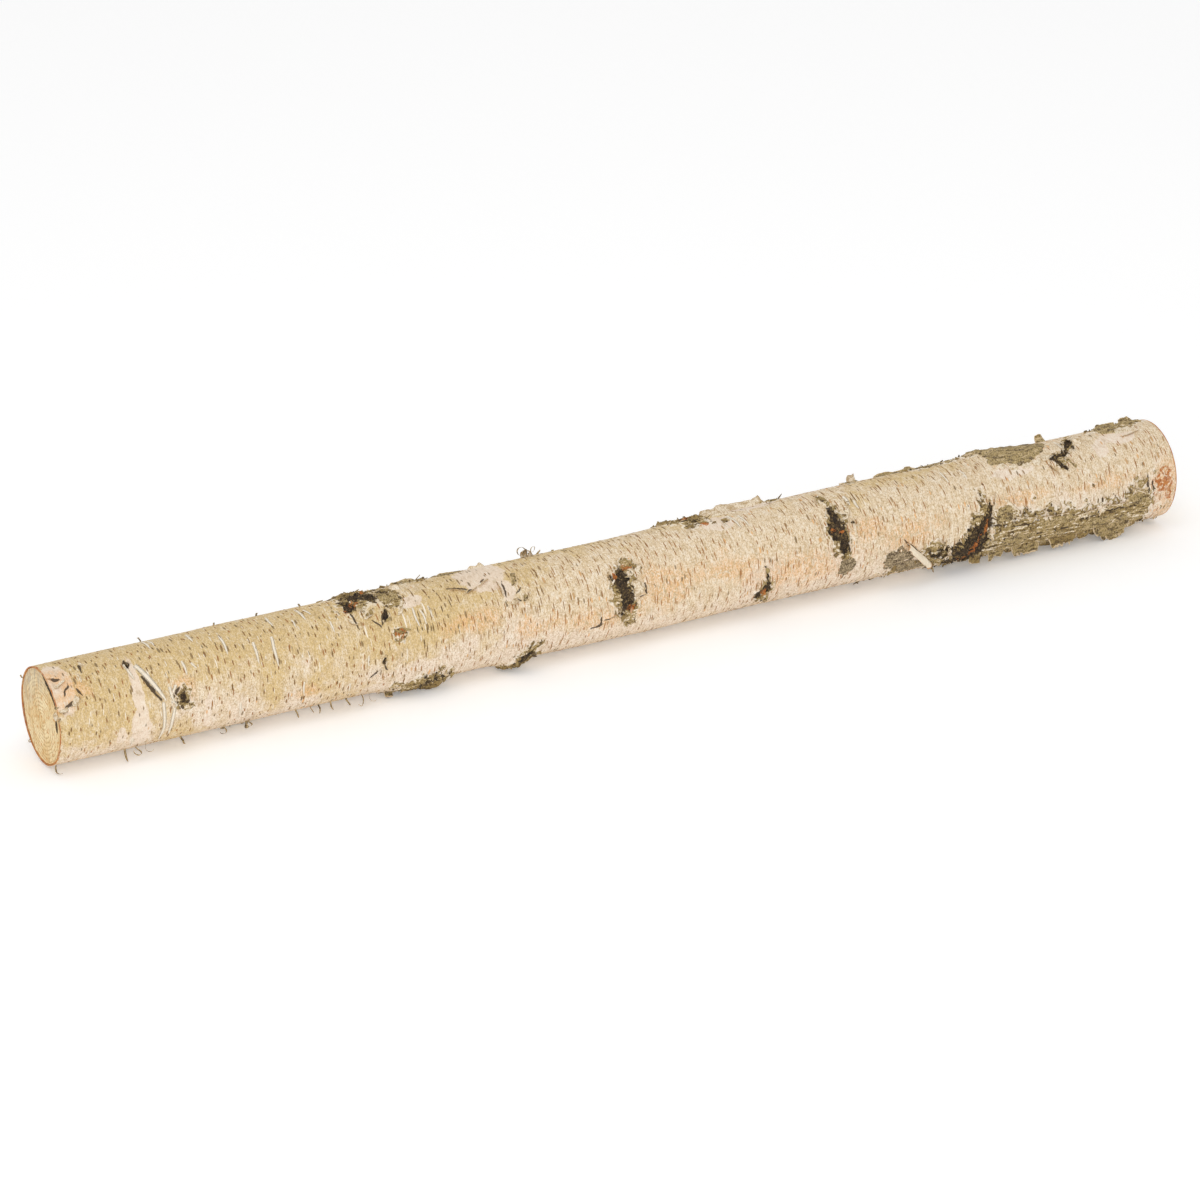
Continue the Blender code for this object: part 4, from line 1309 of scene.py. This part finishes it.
class WOODLOG_OT_lenticels(bpy.types.Operator):
    """Build the breathing pores in two nets, and a net of pale torn dashes between them"""

    bl_idname = "woodlog.lenticels"
    bl_label = "Lenticels"

    def execute(self, context):
        colours = context.scene.log_colours
        material = crumb_material("lenticel", colours, colours.lenticel, colours.lenticel_rust)
        parts = [lenticels(3, 0.0052, 0.0100, 0.62), lenticels(4, 0.0066, 0.0066, 0.30)]
        make_piece("lenticels", *join_parts(parts), material, "bark")
        material = crumb_material("pale_dashes", colours, colours.chalk, colours.paper)
        parts = [lenticels(5, 0.0064, 0.0100, 0.34, 0.8)]
        make_piece("pale_dashes", *join_parts(parts), material, "bark")
        return {"FINISHED"}


class WOODLOG_OT_chips(bpy.types.Operator):
    """Build the chips of broken bark in the scars and the crust, a coarse layer and a fine one"""

    bl_idname = "woodlog.chips"
    bl_label = "Bark chips"

    def execute(self, context):
        colours = context.scene.log_colours
        material = crumb_material("bark_chips", colours, None, colours.rust)
        parts = [chips(7, 0.0032, 1.15), chips(8, 0.0019, 0.70)]
        make_piece("bark_chips", *join_parts(parts), material, "bark")
        return {"FINISHED"}


class WOODLOG_OT_torn_bark(bpy.types.Operator):
    """Build the thick plates and torn sheets, one piece to each kind of bark, the hairs and the ribbons"""

    bl_idname = "woodlog.torn_bark"
    bl_label = "Torn bark"

    def execute(self, context):
        materials = detail_materials(context.scene.log_colours)
        draw = np.random.default_rng(12)
        plates = {kind: list(rows) for kind, rows in PLATES.items()}
        for number in range(RANDOM_PLATES):
            place = (draw.uniform(0.836, 0.962), draw.uniform(108.0, 160.0))
            size = (draw.uniform(4.0, 11.0), draw.uniform(1.5, 4.0), draw.uniform(0.4, 0.9))
            plates[("olive", "dark")[number % 2]].append((*place, *size))
        peels = {kind: list(rows) for kind, rows in PEELS.items()}
        for number in range(RANDOM_SHEETS):
            heading = draw.choice([0.0, 180.0]) + draw.normal(0.0, 18.0)
            place = (draw.uniform(0.02, 0.98), draw.uniform(-180.0, 150.0))
            size = (draw.uniform(3.0, 9.0), draw.uniform(0.7, 1.3))
            bend = (draw.uniform(10.0, 28.0), draw.uniform(20, 90))
            peels["paper"].append((*place, heading, *size, *bend, 0.5))
        for kind, material in materials.items():
            rows, thickness = plates.get(kind, ()), SHEET_THICKNESS[kind]
            parts = [plate(row[:2], *row[2:], 100 + number) for number, row in enumerate(rows)]
            if parts:
                make_piece(f"bark_plates_{kind}", *join_parts(parts), material, "bark")
            rows = peels.get(kind, ())
            parts = [peel(row[:2], *row[2:], 300 + 7 * number, thickness) for number, row in enumerate(rows)]
            if parts:
                make_piece(f"torn_sheets_{kind}", *join_parts(parts), material, "bark")
        parts = [fibre(row[:2], *row[2:], 500 + number) for number, row in enumerate(FIBRES)]
        make_piece("bark_fibres", *join_parts(parts), materials["olive"], "bark")
        parts = [
            fibre(row[:2], *row[2:5], 0.0, row[5], 600 + number, sway=RIBBON_SWAY)
            for number, row in enumerate(RIBBONS)
        ]
        make_piece("white_ribbons", *join_parts(parts), materials["white"], "bark")
        return {"FINISHED"}


# Growth rings: their width and how far they waver, in metres. Sawn discs: points round and rings, the pith's
# place off the middle, and in metres their distance from the bark, how far their faces lie in, the height of
# the saw marks and how deep the gaps are where bark has come loose
RING_WIDTH = 0.0030
RING_WOBBLE = 0.0060
DISC_COLUMNS = 240
DISC_ROWS = 56
PITH = (-0.0025, -0.0020)
DISC_GAP = 0.0003
DISC_DEPTH = 0.00035
SAW_MARKS = 0.00012
GAP_DEPTH = 0.0012


def loose_bark(turn, share, frayed):
    """How loose the bark is at each turn, and the zone of the gaps that it leaves in a disc, both 0 to 1.

    Turns are from -180 to 180 and shares are of the disc's radius. A gap runs along the upper front, wide in
    its middle, and a thin one along the lower back. Below the first are a thin gap at the rim and a wedge
    further in. Noise frays them all.
    """
    loose = eased(0.0, 14.0, turn) * eased(68.0, 54.0, turn)
    loose = np.maximum(loose, 0.6 * eased(-160.0, -140.0, turn) * eased(-80.0, -100.0, turn))
    inner = 0.955 - 0.135 * np.exp(-(((turn - 32.0) / 22.0) ** 2))
    gap = loose * eased(inner - 0.030, inner + 0.030, share + 0.04 * frayed)
    below = eased(72.0, 78.0, turn) * eased(104.0, 96.0, turn)
    gap = np.maximum(gap, below * eased(0.930, 0.975, share + 0.03 * frayed))
    wedge = np.hypot((turn - 82.0) / 13.0, (share - 0.80) / 0.060) + 0.3 * frayed
    return loose, np.maximum(gap, eased(1.5, 0.5, wedge))


class WOODLOG_OT_sawn_ends(bpy.types.Operator):
    """Build the two sawn discs: polar grids with saw marks, closed at the back"""

    bl_idname = "woodlog.sawn_ends"
    bl_label = "Sawn ends"

    def execute(self, context):
        sizes = context.scene.log_sizes
        material = sawn_material(context.scene.log_colours)
        turn = np.arange(DISC_COLUMNS)[None, :] * 360.0 / DISC_COLUMNS
        signed = signed_turn(turn)
        for name, at, inward, loosened in (
            ("sawn_end_small", 0.0, 1.0, 1.0),
            ("sawn_end_large", LENGTH, -1.0, 0.0),
        ):
            edge = on_log(np.full((1, 1), at), turn, np.full_like(turn, -sizes.bark_thickness - DISC_GAP))
            middle = edge.mean(axis=1, keepdims=True)
            share = np.linspace(1.0, 0.02, DISC_ROWS)[:, None]
            face = middle + (edge - middle) * share[..., None]
            back = edge.copy()
            back[..., 0] += inward * sizes.cut_depth * 0.9
            rings = np.concatenate([back, face])
            share = np.concatenate([share[:1], share])
            radial = np.linalg.norm(rings[..., 1:] - middle[..., 1:] - np.array(PITH), axis=-1)
            frayed = around_noise(share * 0.08, turn, 0.006, 0.010, 91, 3)
            loose, gap = (loosened * values for values in loose_bark(signed, share, frayed))
            rim = (1.0 - loose) * eased(0.955, 0.985, share + 0.03 * frayed)
            upward = np.cos(np.radians(signed + 30.0)) * share
            grey = np.clip(eased(0.10, 0.95, upward + 0.35 * frayed), 0.0, 1.0)
            marks = around_noise(radial * 3.0, turn, 0.004, 0.004, 91, 2)
            rings[1:, :, 0] += inward * (DISC_DEPTH + SAW_MARKS * marks[1:] + GAP_DEPTH * gap[1:])
            poles = np.concatenate([back.mean(axis=1), face[-1:].mean(axis=1)])
            points = np.concatenate([rings.reshape(-1, 3), poles])
            faces = outward(points, *tube_faces(len(rings), DISC_COLUMNS))
            zones = {}
            for key, values in (("radial", radial), ("gap", gap), ("rim", rim), ("grey", grey)):
                zones[key] = np.append(np.broadcast_to(values, radial.shape).reshape(-1), [0.0, 0.0])
            make_piece(name, points, *faces, zones, material, "sawn_wood")
        return {"FINISHED"}


# Stage: the colour of the floor's glow and of the surroundings, and the width of the camera's sensor in mm
WHITE = (1.0, 1.0, 1.0)
SENSOR_WIDTH = 36.0


class WOODLOG_OT_stage(bpy.types.Operator):
    """Build the pale floor, the soft lights, the pale surroundings and the camera"""

    bl_idname = "woodlog.stage"
    bl_label = "Stage"

    def execute(self, context):
        scene = context.scene
        stage = scene.log_stage
        half = stage.floor_size / 2.0
        mesh = bpy.data.meshes.new("floor")
        corners = [(-half, -half, 0.0), (half, -half, 0.0), (half, half, 0.0), (-half, half, 0.0)]
        mesh.from_pydata(corners, [], [(0, 1, 2, 3)])
        material, tree = new_material("pale_floor")
        surface(tree, rgb(stage.floor_colour), 0.9)
        glow = {"Emission Color": rgb(WHITE), "Emission Strength": stage.floor_glow}
        wire(tree, tree.nodes["Principled BSDF"], glow)
        mesh.materials.append(material)
        floor = bpy.data.objects.new("floor", mesh)
        scene.collection.objects.link(floor)
        world = bpy.data.worlds.new("pale_surroundings")
        world.use_nodes = True
        sky = {"Color": rgb(WHITE), "Strength": stage.sky_strength}
        wire(world.node_tree, world.node_tree.nodes["Background"], sky)
        scene.world = world
        for name, place, size, power in (
            ("overhead_light", (-0.4, -0.6, 2.6), 1.6, 9.0),
            ("front_light", (-1.6, -2.6, 1.2), 1.4, 16.0),
        ):
            data = bpy.data.lights.new(name, "AREA")
            data.shape = "DISK"
            data.size = size
            data.energy = power
            light = bpy.data.objects.new(name, data)
            light.location = place
            light.rotation_mode = "QUATERNION"
            light.rotation_quaternion = look_along(-np.array(place))
            scene.collection.objects.link(light)
        camera_data = bpy.data.cameras.new("camera")
        camera_data.lens = stage.lens
        camera_data.sensor_width = SENSOR_WIDTH
        camera = bpy.data.objects.new("camera", camera_data)
        level = math.cos(stage.elevation)
        side = (math.sin(stage.azimuth) * level, -math.cos(stage.azimuth) * level)
        back = np.array([*side, math.sin(stage.elevation)])
        camera.location = np.array(stage.aim) + back * stage.distance
        camera.rotation_mode = "QUATERNION"
        camera.rotation_quaternion = look_along(-back)
        scene.collection.objects.link(camera)
        scene.camera = camera
        scene.view_settings.view_transform = "Standard"
        return {"FINISHED"}


def look_along(direction):
    """The turn that points a camera or a light along a direction, with its top up."""
    return Vector(direction).to_track_quat("-Z", "Y")


class WOODLOG_PT_panel(bpy.types.Panel):
    """Lists the log's operators"""

    bl_idname = "WOODLOG_PT_panel"
    bl_label = "Wood Log"
    bl_space_type = "VIEW_3D"
    bl_region_type = "UI"
    bl_category = "Wood Log"

    def draw(self, context):
        for operator in OPERATORS:
            self.layout.operator(operator.bl_idname)


SETTINGS = {"log_colours": LogColours, "log_sizes": LogSizes, "log_stage": LogStage}
OPERATORS = (
    WOODLOG_OT_groups,
    WOODLOG_OT_bark,
    WOODLOG_OT_lenticels,
    WOODLOG_OT_chips,
    WOODLOG_OT_torn_bark,
    WOODLOG_OT_sawn_ends,
    WOODLOG_OT_stage,
)


def register():
    """Adds the settings, the operators and the panel."""
    for name, group in SETTINGS.items():
        bpy.utils.register_class(group)
        setattr(bpy.types.Scene, name, PointerProperty(type=group))
    for kind in (*OPERATORS, WOODLOG_PT_panel):
        bpy.utils.register_class(kind)


def unregister():
    """Takes the panel, the operators and the settings away again."""
    for kind in (WOODLOG_PT_panel, *reversed(OPERATORS)):
        bpy.utils.unregister_class(kind)
    for name, group in SETTINGS.items():
        delattr(bpy.types.Scene, name)
        bpy.utils.unregister_class(group)


def main():
    """Registers the add-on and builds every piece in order."""
    register()
    for operator in OPERATORS:
        getattr(bpy.ops.woodlog, operator.bl_idname.split(".")[1])()


if __name__ == "__main__":
    main()
